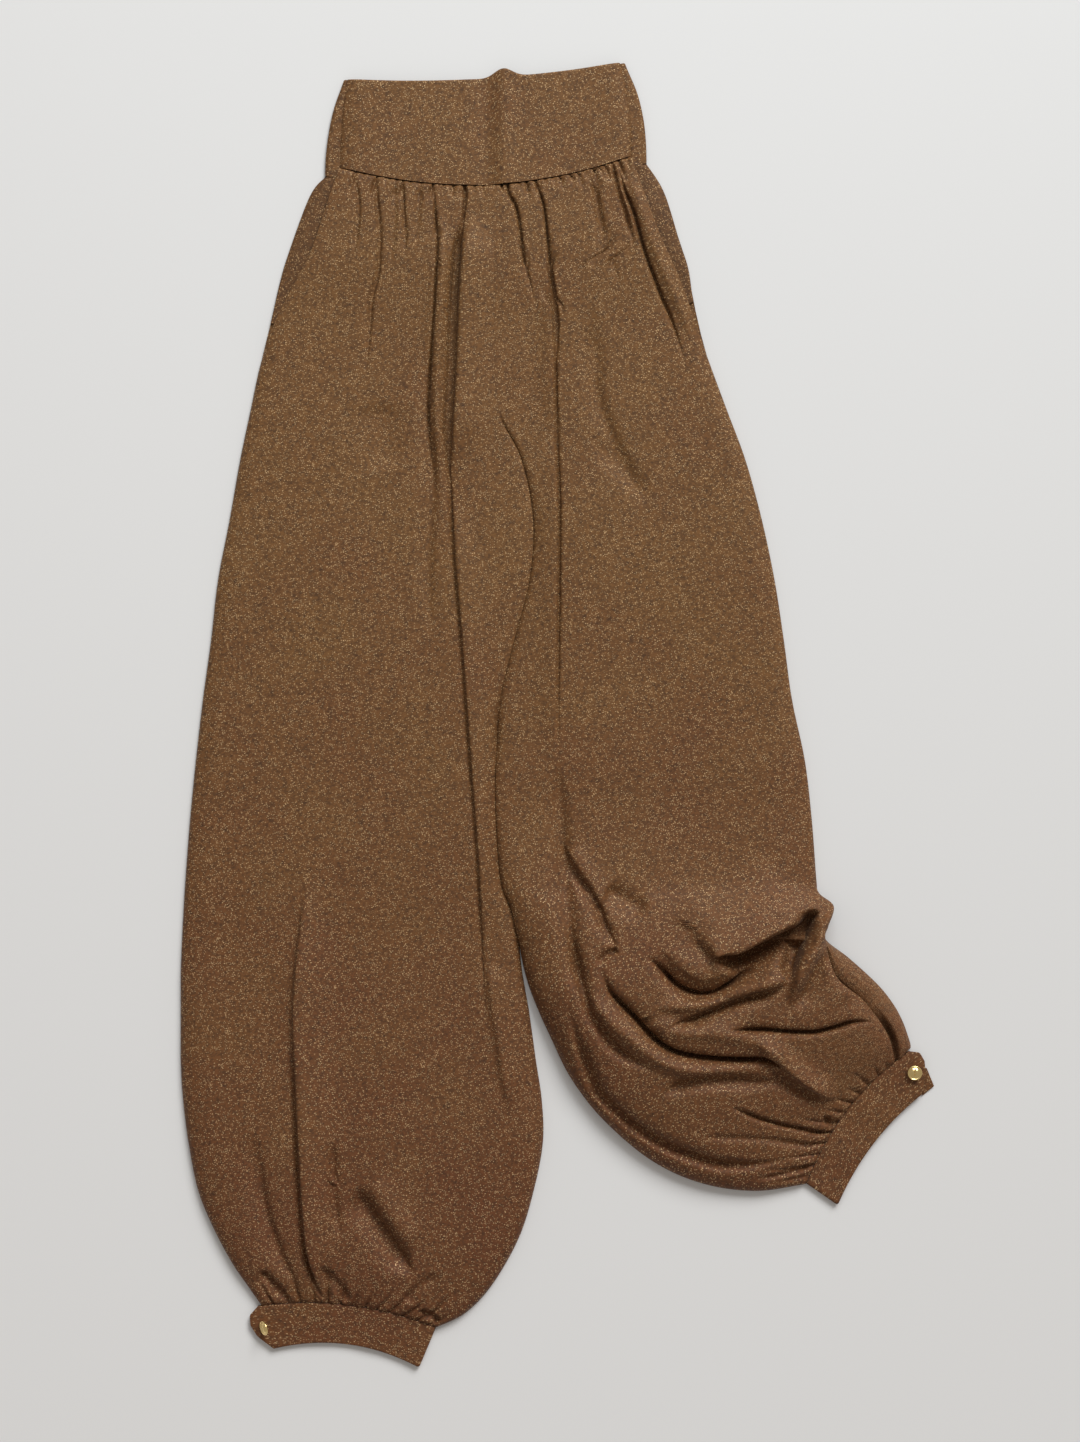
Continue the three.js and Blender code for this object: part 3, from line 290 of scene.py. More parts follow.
right_folds = [
    ([(-0.0434, 0.4575), (-0.0413, 0.4472), (-0.0361, 0.4386), (-0.034, 0.4309), (-0.0318, 0.418),
      (-0.0301, 0.4051), (-0.0284, 0.3904), (-0.0249, 0.3767), (-0.0206, 0.3578)],
      -0.0055, 0.0013, 0.0024, 0.001),
    # The second deep pleat: its line, the dark wedge, and the line that runs on below.
    ([(-0.0198, 0.461), (-0.0155, 0.4489), (-0.012, 0.4386), (-0.0099, 0.4248), (-0.0086, 0.4094),
      (-0.0069, 0.3956), (-0.0043, 0.3818), (-0.0017, 0.3664), (0.0009, 0.3474),
      (0.0017, 0.3285)], -0.0065, 0.0013, 0.0018, 0.001),
    ([(-0.0077, 0.3973), (-0.0056, 0.3793), (-0.0043, 0.3664), (-0.0026, 0.3492),
      (-0.0013, 0.3277), (-0.0009, 0.3062)], -0.007, 0.003, 0.003, 0.001, 4),
    ([(-0.0043, 0.3904), (-0.0069, 0.3578), (-0.006, 0.3234), (-0.006, 0.289), (-0.0052, 0.2374)],
      0.002, 0.004, 0.008, 0),
    ([(-0.0004, 0.3234), (-0.0017, 0.3044), (-0.0009, 0.2718), (-0.0002, 0.2313),
      (0.0017, 0.1815), (0.0013, 0.1058), (0.0004, 0.031), (0.0, -0.0464)],
      -0.004, 0.0013, 0.0018, 0.0006),
    ([(-0.0034, 0.246), (-0.0017, 0.1815), (-0.0022, 0.1058), (-0.0034, 0.031),
      (-0.0034, -0.0464)], 0.0022, 0.003, 0.012, 0),
    ([(0.0292, 0.2374), (0.0464, 0.2184), (0.0654, 0.1995), (0.0791, 0.1858)],
      -0.003, 0.007, 0.007, 0),
    ([(-0.0757, -0.141), (-0.0688, -0.1625), (-0.0636, -0.1883)], -0.003, 0.003, 0.006, 0),
    ([(0.0, -0.0396), (0.0043, -0.1204), (0.0129, -0.1952), (0.0241, -0.2442)],
      -0.005, 0.006, 0.009, 0),
    # Creases at the hip and beside the pocket.
    ([(0.0301, 0.4696), (0.0318, 0.4524), (0.0335, 0.4395), (0.0361, 0.4248), (0.0396, 0.4128),
      (0.043, 0.4008), (0.0464, 0.3896), (0.0516, 0.3698)], -0.0048, 0.0026, 0.0034, 0),
    ([(0.0292, 0.35), (0.031, 0.3139), (0.0327, 0.2786), (0.0413, 0.2503), (0.055, 0.2202),
      (0.0705, 0.1978)], -0.0035, 0.006, 0.008, 0),
    ([(0.0456, 0.473), (0.049, 0.461), (0.0525, 0.4472), (0.0568, 0.4352), (0.0602, 0.4214),
      (0.0645, 0.4059)], -0.004, 0.0014, 0.002, 0),
    ([(0.0525, 0.4541), (0.0559, 0.4438), (0.0602, 0.4317), (0.0636, 0.4214), (0.0688, 0.4042)],
      0.002, 0.0018, 0.0018, 0),
    ([(0.0507, 0.4713), (0.0568, 0.4524), (0.0619, 0.4412), (0.0662, 0.4309), (0.0705, 0.4145),
      (0.0748, 0.399), (0.0791, 0.387), (0.0851, 0.3715), (0.0903, 0.3578), (0.0972, 0.3423),
      (0.1023, 0.3251), (0.1084, 0.3027)], -0.0075, 0.0015, 0.0024, 0.0012),
    ([(0.0602, 0.4627), (0.0705, 0.4352), (0.0808, 0.4051), (0.0929, 0.375), (0.1049, 0.3474),
      (0.117, 0.3191)], 0.003, 0.006, 0.005, 0),
    # The drawn-up stretch, from the top: dents at the knee, then the overhang and its hollow.
    ([(0.0026, -0.1084), (0.0146, -0.1316), (0.0275, -0.1496), (0.0361, -0.1651),
      (0.0421, -0.1815), (0.0507, -0.1995)], -0.008, 0.003, 0.006, 0.001),
    ([(0.0396, -0.1488), (0.0516, -0.1548), (0.0636, -0.1608), (0.0774, -0.1668)],
      -0.006, 0.008, 0.010, 0),
    ([(0.0516, -0.1995), (0.0413, -0.203), (0.0344, -0.2116)], -0.006, 0.002, 0.003, 0),
    ([(0.0361, -0.1651), (0.0258, -0.141), (0.0155, -0.1256), (0.0069, -0.1152)],
      0.003, 0.006, 0.010, 0),
    ([(0.1256, -0.2012), (0.1324, -0.1969), (0.1522, -0.1901), (0.1711, -0.1815),
      (0.1909, -0.1729), (0.2202, -0.1651)], 0.013, 0.03, 0.004, 0.006),
    ([(0.1324, -0.2047), (0.1522, -0.1978), (0.1711, -0.1909), (0.1909, -0.1832),
      (0.2081, -0.1763), (0.2202, -0.1703)], -0.026, 0.0035, 0.017, 0.004, 3),
    ([(0.221, -0.1651), (0.2133, -0.1789), (0.2064, -0.1961), (0.2004, -0.2116),
      (0.1961, -0.2253)], -0.021, 0.0045, 0.010, 0.003, 3),
    # The fold that stands up at the side.
    ([(0.2374, -0.1617), (0.227, -0.1789), (0.2184, -0.1969), (0.2107, -0.2116), (0.203, -0.227),
      (0.1952, -0.246)], 0.012, 0.006, 0.0055, 0.001),
    ([(0.2305, -0.1892), (0.2245, -0.2055), (0.2176, -0.2202), (0.2098, -0.2356),
      (0.2012, -0.2494)], -0.005, 0.008, 0.006, 0),
    ([(0.2253, -0.1909), (0.2322, -0.2081), (0.2425, -0.2253), (0.2563, -0.2391)],
      0.006, 0.005, 0.014, 0),
    # The bulge over the crescent, the lip below it and the crease below that.
    ([(0.0877, -0.1969), (0.1135, -0.2167), (0.1264, -0.2202), (0.141, -0.215),
      (0.1608, -0.2055)], 0.005, 0.012, 0.006, 0.002),
    ([(0.0748, -0.2038), (0.092, -0.2184), (0.1049, -0.2296), (0.1195, -0.2348),
      (0.1324, -0.2339), (0.1453, -0.2262), (0.1565, -0.2193), (0.1703, -0.2141)],
      -0.016, 0.0045, 0.0042, 0.004),
    ([(0.0791, -0.2012), (0.1135, -0.2288), (0.1479, -0.2236), (0.1823, -0.2116)],
      -0.006, 0.014, 0.010, 0),
    ([(0.0791, -0.2468), (0.1006, -0.246), (0.1195, -0.2434), (0.1436, -0.2356),
      (0.1651, -0.2296), (0.1866, -0.2245), (0.2012, -0.2202)], 0.006, 0.006, 0.006, 0),
    ([(0.0912, -0.2649), (0.1135, -0.2563), (0.1307, -0.2494), (0.1436, -0.2442),
      (0.1608, -0.2382), (0.178, -0.2339), (0.1909, -0.2296)], -0.011, 0.004, 0.006, 0.002),
    ([(0.0705, -0.2554), (0.1049, -0.2683), (0.135, -0.27), (0.1737, -0.2786), (0.1952, -0.2924)],
      0.004, 0.009, 0.006, 0),
    # The crease that runs to the slit.
    ([(0.1445, -0.2675), (0.1608, -0.2657), (0.178, -0.2657), (0.1995, -0.2675),
      (0.2184, -0.2675), (0.2339, -0.264), (0.2511, -0.2597), (0.27, -0.2614)],
      -0.013, 0.004, 0.0026, 0.003),
    # The long crease under the whole bulge, and the ridge that comes out below it.
    ([(0.0344, -0.2116), (0.043, -0.2313), (0.0533, -0.2425), (0.0662, -0.2554),
      (0.0774, -0.2675), (0.0877, -0.2769), (0.098, -0.2829), (0.1135, -0.2872), (0.135, -0.2898),
      (0.1565, -0.2907), (0.1754, -0.2907), (0.1866, -0.295), (0.1995, -0.307)],
      -0.018, 0.005, 0.0038, 0.0045),
    ([(0.0224, -0.2227), (0.0344, -0.2468), (0.049, -0.2632), (0.0662, -0.2778),
      (0.0834, -0.2907), (0.1049, -0.2993), (0.1307, -0.3019), (0.1651, -0.3027)],
      0.006, 0.006, 0.006, 0),
    ([(0.1668, -0.2752), (0.1866, -0.289), (0.1995, -0.301), (0.2124, -0.3113), (0.227, -0.3208),
      (0.2391, -0.3285)], 0.008, 0.009, 0.004, 0.002),
    ([(0.1823, -0.2993), (0.1952, -0.3105), (0.2107, -0.3191), (0.227, -0.3251)],
      -0.006, 0.003, 0.008, 0),
    ([(0.0877, -0.3216), (0.1049, -0.313), (0.1221, -0.3096), (0.141, -0.3096), (0.1651, -0.3105),
      (0.1944, -0.3122)], -0.008, 0.005, 0.006, 0),
    ([(0.0095, -0.1737), (0.0163, -0.2098), (0.0267, -0.2485), (0.0361, -0.264),
      (0.0464, -0.2786), (0.0602, -0.2898), (0.0843, -0.3027)], -0.008, 0.005, 0.005, 0.001),
    # The sweep along the outside, and the creases that run into the cuff.
    ([(0.0069, -0.2442), (0.0146, -0.27), (0.0215, -0.289), (0.0275, -0.3044), (0.0344, -0.3199),
      (0.0464, -0.3328), (0.0602, -0.3457), (0.0748, -0.356), (0.092, -0.3664), (0.1135, -0.375),
      (0.135, -0.3818), (0.1565, -0.3836), (0.178, -0.3818), (0.203, -0.3775)],
      -0.0095, 0.006, 0.005, 0.001),
    ([(0.1462, -0.332), (0.1668, -0.3406), (0.1866, -0.3474), (0.2081, -0.3526), (0.2236, -0.356),
      (0.2391, -0.3569)], -0.007, 0.0026, 0.0022, 0.001),
    ([(0.1187, -0.3578), (0.1462, -0.3586), (0.1737, -0.3603), (0.1995, -0.3638),
      (0.221, -0.3672)], -0.0026, 0.002, 0.003, 0),
    ([(0.1686, -0.3965), (0.1952, -0.3913), (0.2081, -0.3879), (0.221, -0.3836)],
      -0.004, 0.002, 0.0022, 0),
    ([(0.2253, -0.3414), (0.2356, -0.3483), (0.2451, -0.3474), (0.252, -0.3371)],
      -0.007, 0.0024, 0.0028, 0),
]
# Steps of a fold's line from one of its places to the next, and of a leg from one section to the
# next.
fold_steps = 14
leg_steps = 40
# How a fold starts and ends: the share of its length at each end, and its narrowest width there.
# The lip beside a trough: its place and half-width, in half-widths of the trough.
fold_starts, fold_ends, fold_narrows = 0.2, 0.25, 0.4
lip_place, lip_half = 1.3, 0.8
# The mesh's columns crowd at folds that lean or are narrower than crisp_half: how far off they
# are sought, how much closer the columns stand, and over what half-width.
crisp_half = 0.002
crowd_margin, crowd_gain, crowd_half = 0.02, 2.0, 0.006
# A gather's half-width at the seam, how it widens with the distance from there, how steep its
# sides are and how strongly it is pulled in.
gather_half, gather_spread, gather_edge, gather_pull = 0.0013, 0.022, 1.3, 1.9
# The fine puckers: depth, how far from the seam they reach, and how fast they come along the
# seam, how much and how fast that pace varies, and their slant.
pucker_depth, pucker_drop = 0.0006, 0.011
pucker_pace, pucker_sway, sway_pace, pucker_slant = 1050, 3, 140, 60
# Gathers: place along the seam from west to east, length, and depth of the crease.
left_waist_gathers = [
    (0.106, 0.026, 0.0022), (0.158, 0.01, 0.0018), (0.243, 0.03, 0.003), (0.314, 0.012, 0.0022),
    (0.373, 0.03, 0.0022), (0.412, 0.028, 0.0028), (0.457, 0.01, 0.002), (0.529, 0.024, 0.0022),
    (0.606, 0.022, 0.003), (0.671, 0.011, 0.0018), (0.736, 0.015, 0.0034), (0.808, 0.022, 0.003),
    (0.873, 0.01, 0.002), (0.925, 0.013, 0.0028),
]
right_waist_gathers = [
    (0.054, 0.014, 0.0028), (0.095, 0.02, 0.003), (0.179, 0.012, 0.0022), (0.231, 0.024, 0.003),
    (0.297, 0.022, 0.0032), (0.37, 0.01, 0.0018), (0.42, 0.009, 0.0018), (0.473, 0.016, 0.0024),
    (0.554, 0.012, 0.0028), (0.605, 0.018, 0.003), (0.65, 0.01, 0.0022), (0.723, 0.024, 0.0026),
    (0.767, 0.013, 0.003), (0.804, 0.018, 0.003), (0.855, 0.02, 0.0026), (0.907, 0.02, 0.003),
    (0.958, 0.01, 0.0016),
]
left_cuff_gathers = [
    (0.07, 0.034, 0.0024), (0.15, 0.026, 0.0022), (0.22, 0.046, 0.0026), (0.3, 0.024, 0.002),
    (0.37, 0.06, 0.0028), (0.44, 0.038, 0.0024), (0.51, 0.024, 0.002), (0.58, 0.03, 0.0022),
    (0.65, 0.024, 0.002), (0.72, 0.036, 0.0024), (0.8, 0.03, 0.0024), (0.88, 0.04, 0.0024),
    (0.95, 0.02, 0.0018),
]
right_cuff_gathers = [
    (0.06, 0.024, 0.002), (0.14, 0.034, 0.0022), (0.22, 0.026, 0.002), (0.3, 0.042, 0.0024),
    (0.38, 0.03, 0.0022), (0.46, 0.044, 0.0026), (0.54, 0.026, 0.0022), (0.62, 0.034, 0.0022),
    (0.7, 0.028, 0.002), (0.78, 0.04, 0.0024), (0.87, 0.028, 0.002), (0.94, 0.018, 0.0018),
]


def mix(a, b, t):
    """From a to b as t goes from 0 to 1."""
    return a + (b - a) * t


def smooth(t):
    """The same with a gentle start and stop."""
    t = np.clip(t, 0, 1)
    return t * t * (3 - 2 * t)


def rounded(t):
    """Quarter-circle rise from 0 at an edge to 1 at a distance of one roll."""
    return np.sqrt(1 - (1 - np.clip(t, 0, 1)) ** 2)


def spline(points, at):
    """The smooth line through a table's rows; at counts the rows from 0."""
    points = np.asarray(points, float)
    last = len(points) - 1
    first = np.clip(np.floor(at).astype(int), 0, last - 1)
    t = (at - first)[:, None]
    a, b, c, d = (points[np.clip(first + step, 0, last)] for step in (-1, 0, 1, 2))
    return 0.5 * (2 * b + (c - a) * t + (2 * a - 5 * b + 4 * c - d) * t**2
                  + (3 * b - a - 3 * c + d) * t**3)


def from_sides(u):
    """0 at the garment's two sides, and 1 from the fourteenth part of its width inwards."""
    return rounded(np.minimum(u, 1 - u) * 14)


def waist_face(u):
    """Height of the fronts' face in the waist seam, at u of the way across both legs."""
    return mix(bed, waist_height, from_sides(u))


class Fold:
    """One ridge or trough along a smooth line."""

    def __init__(self, places, rise, soft, crisp, lean, power=2):
        steps = fold_steps * (len(places) - 1)
        self.line = spline(places, np.linspace(0, len(places) - 1, steps + 1))
        self.rise = rise
        self.soft = soft
        self.crisp = crisp
        self.lean = lean
        self.power = power

    def reach(self, x, y, margin):
        """For the points near the line: which they are, distance, side, place along, heading."""
        low = self.line.min(0) - margin
        high = self.line.max(0) + margin
        near = np.flatnonzero((x > low[0]) & (x < high[0]) & (y > low[1]) & (y < high[1]))
        start = self.line[:-1]
        run = np.diff(self.line, axis=0)
        away = np.stack([x[near], y[near]], 1)[:, None] - start
        t = np.clip((away * run).sum(2) / (run**2).sum(1), 0, 1)
        gap = np.hypot(*np.moveaxis(away - run * t[..., None], 2, 0))
        best = gap.argmin(1)
        rows = np.arange(len(near))
        heading = run[best] / np.hypot(*run[best].T)[:, None]
        offset = away[rows, best]
        side = heading[:, 0] * offset[:, 1] - heading[:, 1] * offset[:, 0]
        along = (best + t[rows, best]) / len(run)
        return near, gap[rows, best], side, along, heading

    def push(self, x, y):
        """How far the fold moves each point: sideways in x and y, and up."""
        move = np.zeros((3, len(x)))
        near, gap, side, along, heading = self.reach(x, y, 3 * max(self.soft, self.crisp))
        fade = smooth(along / fold_starts) * smooth((1 - along) / fold_ends)
        width = np.where(side > 0, self.soft, self.crisp) * mix(fold_narrows, 1, fade)
        shape = fade * np.exp(-((gap / width) ** self.power))
        lip = fade * np.exp(-(((side / width - lip_place) / lip_half) ** 2))
        aside = self.lean * (shape if self.rise > 0 else lip)
        move[0, near] = aside * heading[:, 1]
        move[1, near] = -aside * heading[:, 0]
        move[2, near] = self.rise * shape
        return move


def across(west, east, bow, u):
    """The place at u of the way from west to east, bowed off the straight line."""
    run = east - west
    rise = bow * 4 * u * (1 - u) / np.hypot(*run)
    return west + run * u + np.stack([-run[1], run[0]]) * rise


class Leg:
    """One leg's sections, folds and gathers, and the lie of its front."""

    def __init__(self, outer, inner, outer_is_west, folds, waist_gathers, cuff_gathers):
        # A row's columns: outer edge, outer fold, bow, the two heights and rolls, inner edge.
        self.sections = np.hstack([np.array(outer), np.array(middle_seam + inner)])
        self.outer_is_west = outer_is_west
        self.folds = [Fold(*fold) for fold in folds]
        self.waist_gathers = waist_gathers
        self.cuff_gathers = cuff_gathers
        self.index = np.linspace(0, len(outer) - 1, leg_steps * (len(outer) - 1) + 1)
        rows = spline(self.sections, self.index)
        middle = (rows[:, :2] + rows[:, 9:]) / 2
        self.down = np.concatenate([[0], np.cumsum(np.hypot(*np.diff(middle, axis=0).T))])
        self.length = self.down[-1]

    def row(self, down):
        """The section at a distance down the leg, column by column."""
        return spline(self.sections, np.interp(down, self.down, self.index)).T

    def ends(self, row, fold=False):
        """West and east end of a section, at the front's edge or at the leg's outer fold."""
        outer = row[2:4] if fold else row[:2]
        inner = row[9:]
        return (outer, inner) if self.outer_is_west else (inner, outer)

    def lap(self, y):
        """1 where this leg's inner edge lies on the other leg, -1 where it lies under it."""
        left_over = smooth((lap_top - y) / top_fade) * smooth((y - lap_turn) / turn_fade)
        right_over = smooth((lap_turn - y) / turn_fade) * smooth((y - lap_foot) / foot_fade)
        return (left_over - right_over) * (1 if self.outer_is_west else -1)

    def gather(self, gathers, u, width, distance):
        """Depth of the gathers and the puckers between them, at a distance from their seam."""
        run = u * width
        wave = pucker_pace * run + pucker_sway * np.sin(sway_pace * run) + pucker_slant * distance
        depth = pucker_depth * (1 + np.sin(wave)) * np.exp(-((distance / pucker_drop) ** 2))
        for place, drop, sink in gathers:
            fade = 1 - smooth(distance / drop)
            half = gather_half + gather_spread * distance
            cut = np.exp(-np.abs((u - place) * width / half) ** gather_edge)
            depth += gather_pull * sink * fade * cut
        return depth

    def front(self, u, down):
        """Points of the front's outer face."""
        row = self.row(down)
        lap = self.lap(row[10])
        under = lap_reach * np.maximum(-lap, 0)
        kept_off = lap_clearance * np.maximum(lap, 0)
        row[9] += (under + kept_off) * (1 if self.outer_is_west else -1)
        west, east = self.ends(row)
        x, y = across(west, east, row[4], u)
        width = np.hypot(*(east - west))
        from_outer = (u if self.outer_is_west else 1 - u) * width
        from_inner = np.maximum(width - from_outer - under, 0)
        puff, lift, roll, inner_roll = row[5:9]
        free = inner_roll > least_roll
        lift = lift * np.clip(from_inner / lift_margin, 0, 1)
        inner_round = np.where(free, rounded(from_inner / np.maximum(inner_roll, least_roll)), 1)
        over = np.maximum(lap, 0) * lap_rise / np.maximum(puff - lift, lap_rise)
        inner_round = mix(inner_round, 1, over)
        edge = np.clip(from_outer / fold_margin + lift / lift_free, 0, 1)
        edge = edge * np.where(free, np.clip(from_inner / fold_margin, 0, 1), 1)
        plain = bed + lift + (puff - lift) * rounded(from_outer / roll) * inner_round
        move = sum((fold.push(x, y) for fold in self.folds), np.zeros((3, len(x)))) * edge
        z = plain + move[2]
        z = z - edge * self.gather(self.waist_gathers, u, width, down)
        z = z - edge * self.gather(self.cuff_gathers, u, width, self.length - down)
        z = np.maximum(z, bed)
        loose = (lift < least_lift) & (from_outer < edge_round)
        z = np.where(loose, mix(edge_height, z, rounded(from_outer / edge_round)), z)
        low = mix(edge_height, z, rounded(from_inner / edge_round))
        z = np.where(free, mix(low, z, np.abs(lap)), z)
        waist = waist_face((u + (0 if self.outer_is_west else 1)) / 2)
        z = mix(waist, z, rounded(down / seam_puff))
        z = mix(np.minimum(z, cuff_height), z, rounded((self.length - down) / seam_puff))
        return np.stack([x + move[0], y + move[1], z], 1)

    def spread(self, downs, columns):
        """Places across each row for the mesh's columns, drawn together where a fold is crisp."""
        even = np.linspace(0, 1, 2 * columns + 1)
        u, down = (grid.ravel() for grid in np.meshgrid(even, downs))
        row = self.row(down)
        x, y = across(*self.ends(row), row[4], u)
        crowd = np.ones_like(u)
        for fold in self.folds:
            if fold.lean > 0 or fold.soft < crisp_half:
                near, gap, *_ = fold.reach(x, y, crowd_margin)
                crowd[near] += crowd_gain * np.exp(-((gap / crowd_half) ** 2))
        crowd = crowd.reshape(len(downs), -1)
        total = np.cumsum((crowd[:, 1:] + crowd[:, :-1]) / 2, axis=1)
        total = np.hstack([np.zeros((len(downs), 1)), total])
        target = np.linspace(0, 1, columns + 1)
        return np.array([np.interp(target, t / t[-1], even) for t in total])


left_leg = Leg(left_outer, left_inner, True, left_folds, left_waist_gathers,
               left_cuff_gathers)
right_leg = Leg(right_outer, right_inner, False, right_folds, right_waist_gathers,
                right_cuff_gathers)


class Signal:
    """A socket whose value varies over a surface. Each step of arithmetic adds a Math node."""

    def __init__(self, finish, socket):
        self.finish = finish
        self.socket = socket

    def maths(self, operation, *values, clamp=False):
        settings = {"operation": operation, "use_clamp": clamp}
        return self.finish.node("ShaderNodeMath", settings, dict(enumerate(values)))["Value"]

    def __add__(self, other):
        return self.maths("ADD", self, other)

    __radd__ = __add__

    def __mul__(self, other):
        return self.maths("MULTIPLY", self, other)

    __rmul__ = __mul__

    def __sub__(self, other):
        return self.maths("SUBTRACT", self, other)

    def __rsub__(self, other):
        return self.maths("SUBTRACT", other, self)

    def limited(self):
        return self.maths("ADD", self, 0.0, clamp=True)


class Finish:
    """One material's nodes."""

    def __init__(self, name):
        self.material = bpy.data.materials.new(name)
        self.material.use_nodes = True
        self.tree = self.material.node_tree
        self.shader = self.tree.nodes["Principled BSDF"]

    def node(self, kind, settings, inputs):
        """Adds a node: its settings first, then values or links for its sockets."""
        made = self.tree.nodes.new(kind)
        for name, value in settings.items():
            setattr(made, name, value)
        for name, value in inputs.items():
            self.feed(made.inputs[name], value)
        return {s.name: Signal(self, s) for s in reversed(made.outputs) if s.enabled}

    def feed(self, socket, value):
        if isinstance(value, Signal):
            self.tree.links.new(value.socket, socket)
        else:
            socket.default_value = value

    def blend(self, factor, first, second):
        """A colour between two others."""
        made = self.tree.nodes.new("ShaderNodeMix")
        made.data_type = "RGBA"
        self.feed(made.inputs["Factor"], factor)
        self.feed(next(s for s in made.inputs if s.name == "A" and s.type == "RGBA"), first)
        self.feed(next(s for s in made.inputs if s.name == "B" and s.type == "RGBA"), second)
        return Signal(self, next(s for s in made.outputs if s.type == "RGBA"))

    def clouds(self, place, scale, detail=2.0):
        """Soft noise about 0.5 over the places."""
        inputs = {"Vector": place, "Scale": scale, "Detail": detail}
        return self.node("ShaderNodeTexNoise", {}, inputs)["Fac"]

    def bump(self, height, strength, distance):
        inputs = {"Strength": strength, "Distance": distance, "Height": height}
        return self.node("ShaderNodeBump", {}, inputs)["Normal"]

    def surface(self, **inputs):
        """Feeds the shader's own sockets; an underscore stands for a space."""
        for name, value in inputs.items():
            self.feed(self.shader.inputs[name.replace("_", " ")], value)


# The knit's courses are this far apart, and one dash of yarn is this long.
course = 0.0009
dash = 0.0017
# The two slants of the dashes: turn, length and the share of them that shine.
up_slant = (0.3, dash, 0.22)
down_slant = (-0.45, dash * 0.8, 0.17)
# A dash's half-width in its cell, and how steeply its edge and its chance to shine rise.
dash_half, dash_edge, shine_edge = 0.4, 5.0, 3.0


def knit_finish(name, brown, warm, dark, gold):
    """Fine jersey with short gold dashes of metallic yarn that lie roughly along its courses."""
    knit = Finish(name)
    weave = knit.node("ShaderNodeUVMap", {"uv_map": "weave"}, {})["UV"]
    body = knit.node("ShaderNodeTexCoord", {}, {})["Object"]

    def dashes(turn, length, share):
        """Dashes of one slant: how much each point shines, and a chance value for each dash."""
        grid = knit.node("ShaderNodeMapping", {"vector_type": "TEXTURE"}, {
            "Vector": weave, "Rotation": (0, 0, turn), "Scale": (length, course, 1.0)})["Vector"]
        cell = knit.node("ShaderNodeTexVoronoi", {"voronoi_dimensions": "2D"}, {
            "Vector": grid, "Scale": 1.0, "Randomness": 1.0})
        chance = knit.node("ShaderNodeSeparateColor", {}, {"Color": cell["Color"]})
        core = ((dash_half - cell["Distance"]) * dash_edge).limited()
        shine = ((chance["Red"] - (1 - share)) * shine_edge).limited()
        return core * shine, chance["Green"], grid

    first, chance, grid = dashes(*up_slant)
    second, _, _ = dashes(*down_slant)
    glint = first.maths("MAXIMUM", first, second)
    cloud = knit.clouds(body, 13.0, 3.0)
    patch = knit.clouds(body, 300.0)
    place = knit.node("ShaderNodeSeparateXYZ", {}, {"Vector": body})
    # Redder from the knees down to the cuffs and in wide clouds; darker from loop to loop.
    # Towards the cuffs the redder colour is also darker: that darkening is painted shade for the
    # light falling off there.
    lower = (place["Y"] * -1.7 + 0.25).limited()
    redder = (lower * 0.85 + (cloud - 0.5) * 1.2 + 0.05).limited()
    shade = (chance * 0.5 + (patch - 0.5) * 1.4).limited()
    ground = knit.blend(shade, knit.blend(redder, brown, warm), dark)
    loops = knit.clouds(grid, 1.3)
    knit.surface(
        Base_Color=knit.blend(glint, ground, gold),
        Metallic=glint * 0.6,
        Roughness=0.7 - glint * 0.3,
        Normal=knit.bump(glint * 0.5 + loops * 0.7, 0.5, 0.0004),
        Specular_IOR_Level=0.3,
        Sheen_Weight=0.04,
        Sheen_Roughness=0.4,
        Sheen_Tint=(1.0, 0.85, 0.7, 1),
    )
    return knit


# warm_brown is the redder brown towards the cuffs; its extra darkness is painted shade.
brown = (0.174, 0.078, 0.022, 1)
warm_brown = (0.132, 0.044, 0.0135, 1)
dark_brown = (0.038, 0.017, 0.007, 1)
yarn_gold = (1.0, 0.69, 0.36, 1)
knit = knit_finish("knit", brown, warm_brown, dark_brown, yarn_gold)


def settle(name, mesh, finish):
    """An object for a finished mesh: shaded smooth, with its material and body."""
    mesh.polygons.foreach_set("use_smooth", np.ones(len(mesh.polygons), bool))
    mesh.materials.append(finish.material)
    piece = link(name, mesh)
    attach(piece, "root")
    return piece


def cloth_piece(name, places, weave, thickness, finish=knit):
    """A sheet of cloth on a grid of places, rows from the top and columns from the west."""
    rows = places.shape[0] - 1
    columns = places.shape[1] - 1
    bm = bmesh.new()
    bmesh.ops.create_grid(bm, x_segments=columns, y_segments=rows, size=0.5)
    for edge in bm.edges:
        edge.smooth = not edge.is_boundary
    mesh = mesh_from(bm, name)
    grid = np.empty(len(mesh.vertices) * 3)
    mesh.vertices.foreach_get("co", grid)
    grid = grid.reshape(-1, 3)
    grid = (grid - grid.min(0)) / (np.ptp(grid, axis=0) + [0, 0, 1])
    column = np.rint(grid[:, 0] * columns).astype(int)
    row = np.rint((1 - grid[:, 1]) * rows).astype(int)
    mesh.vertices.foreach_set("co", places[row, column].ravel())
    corners = np.empty(len(mesh.loops), int)
    mesh.loops.foreach_get("vertex_index", corners)
    layer = mesh.uv_layers.new(name="weave")
    layer.data.foreach_set("uv", weave[row, column][corners].ravel())
    mesh.update()
    piece = settle(name, mesh, finish)
    shell = piece.modifiers.new("thickness", "SOLIDIFY")
    shell.thickness = thickness
    shell.offset = -1
    return piece


# How high smoothed cloth still swells, broadly and finely.
broad_swell = 0.0007
fine_swell = 0.00022


def unevenness(x, y):
    """Slow rise and fall of cloth that was smoothed out by hand."""
    points = np.stack([x, y], 1)
    broad = np.array([noise.noise((px * 14, py * 9, 0.3)) for px, py in points])
    fine = np.array([noise.noise((px * 45, py * 30, 4.7)) for px, py in points])
    return broad_swell * broad + fine_swell * fine


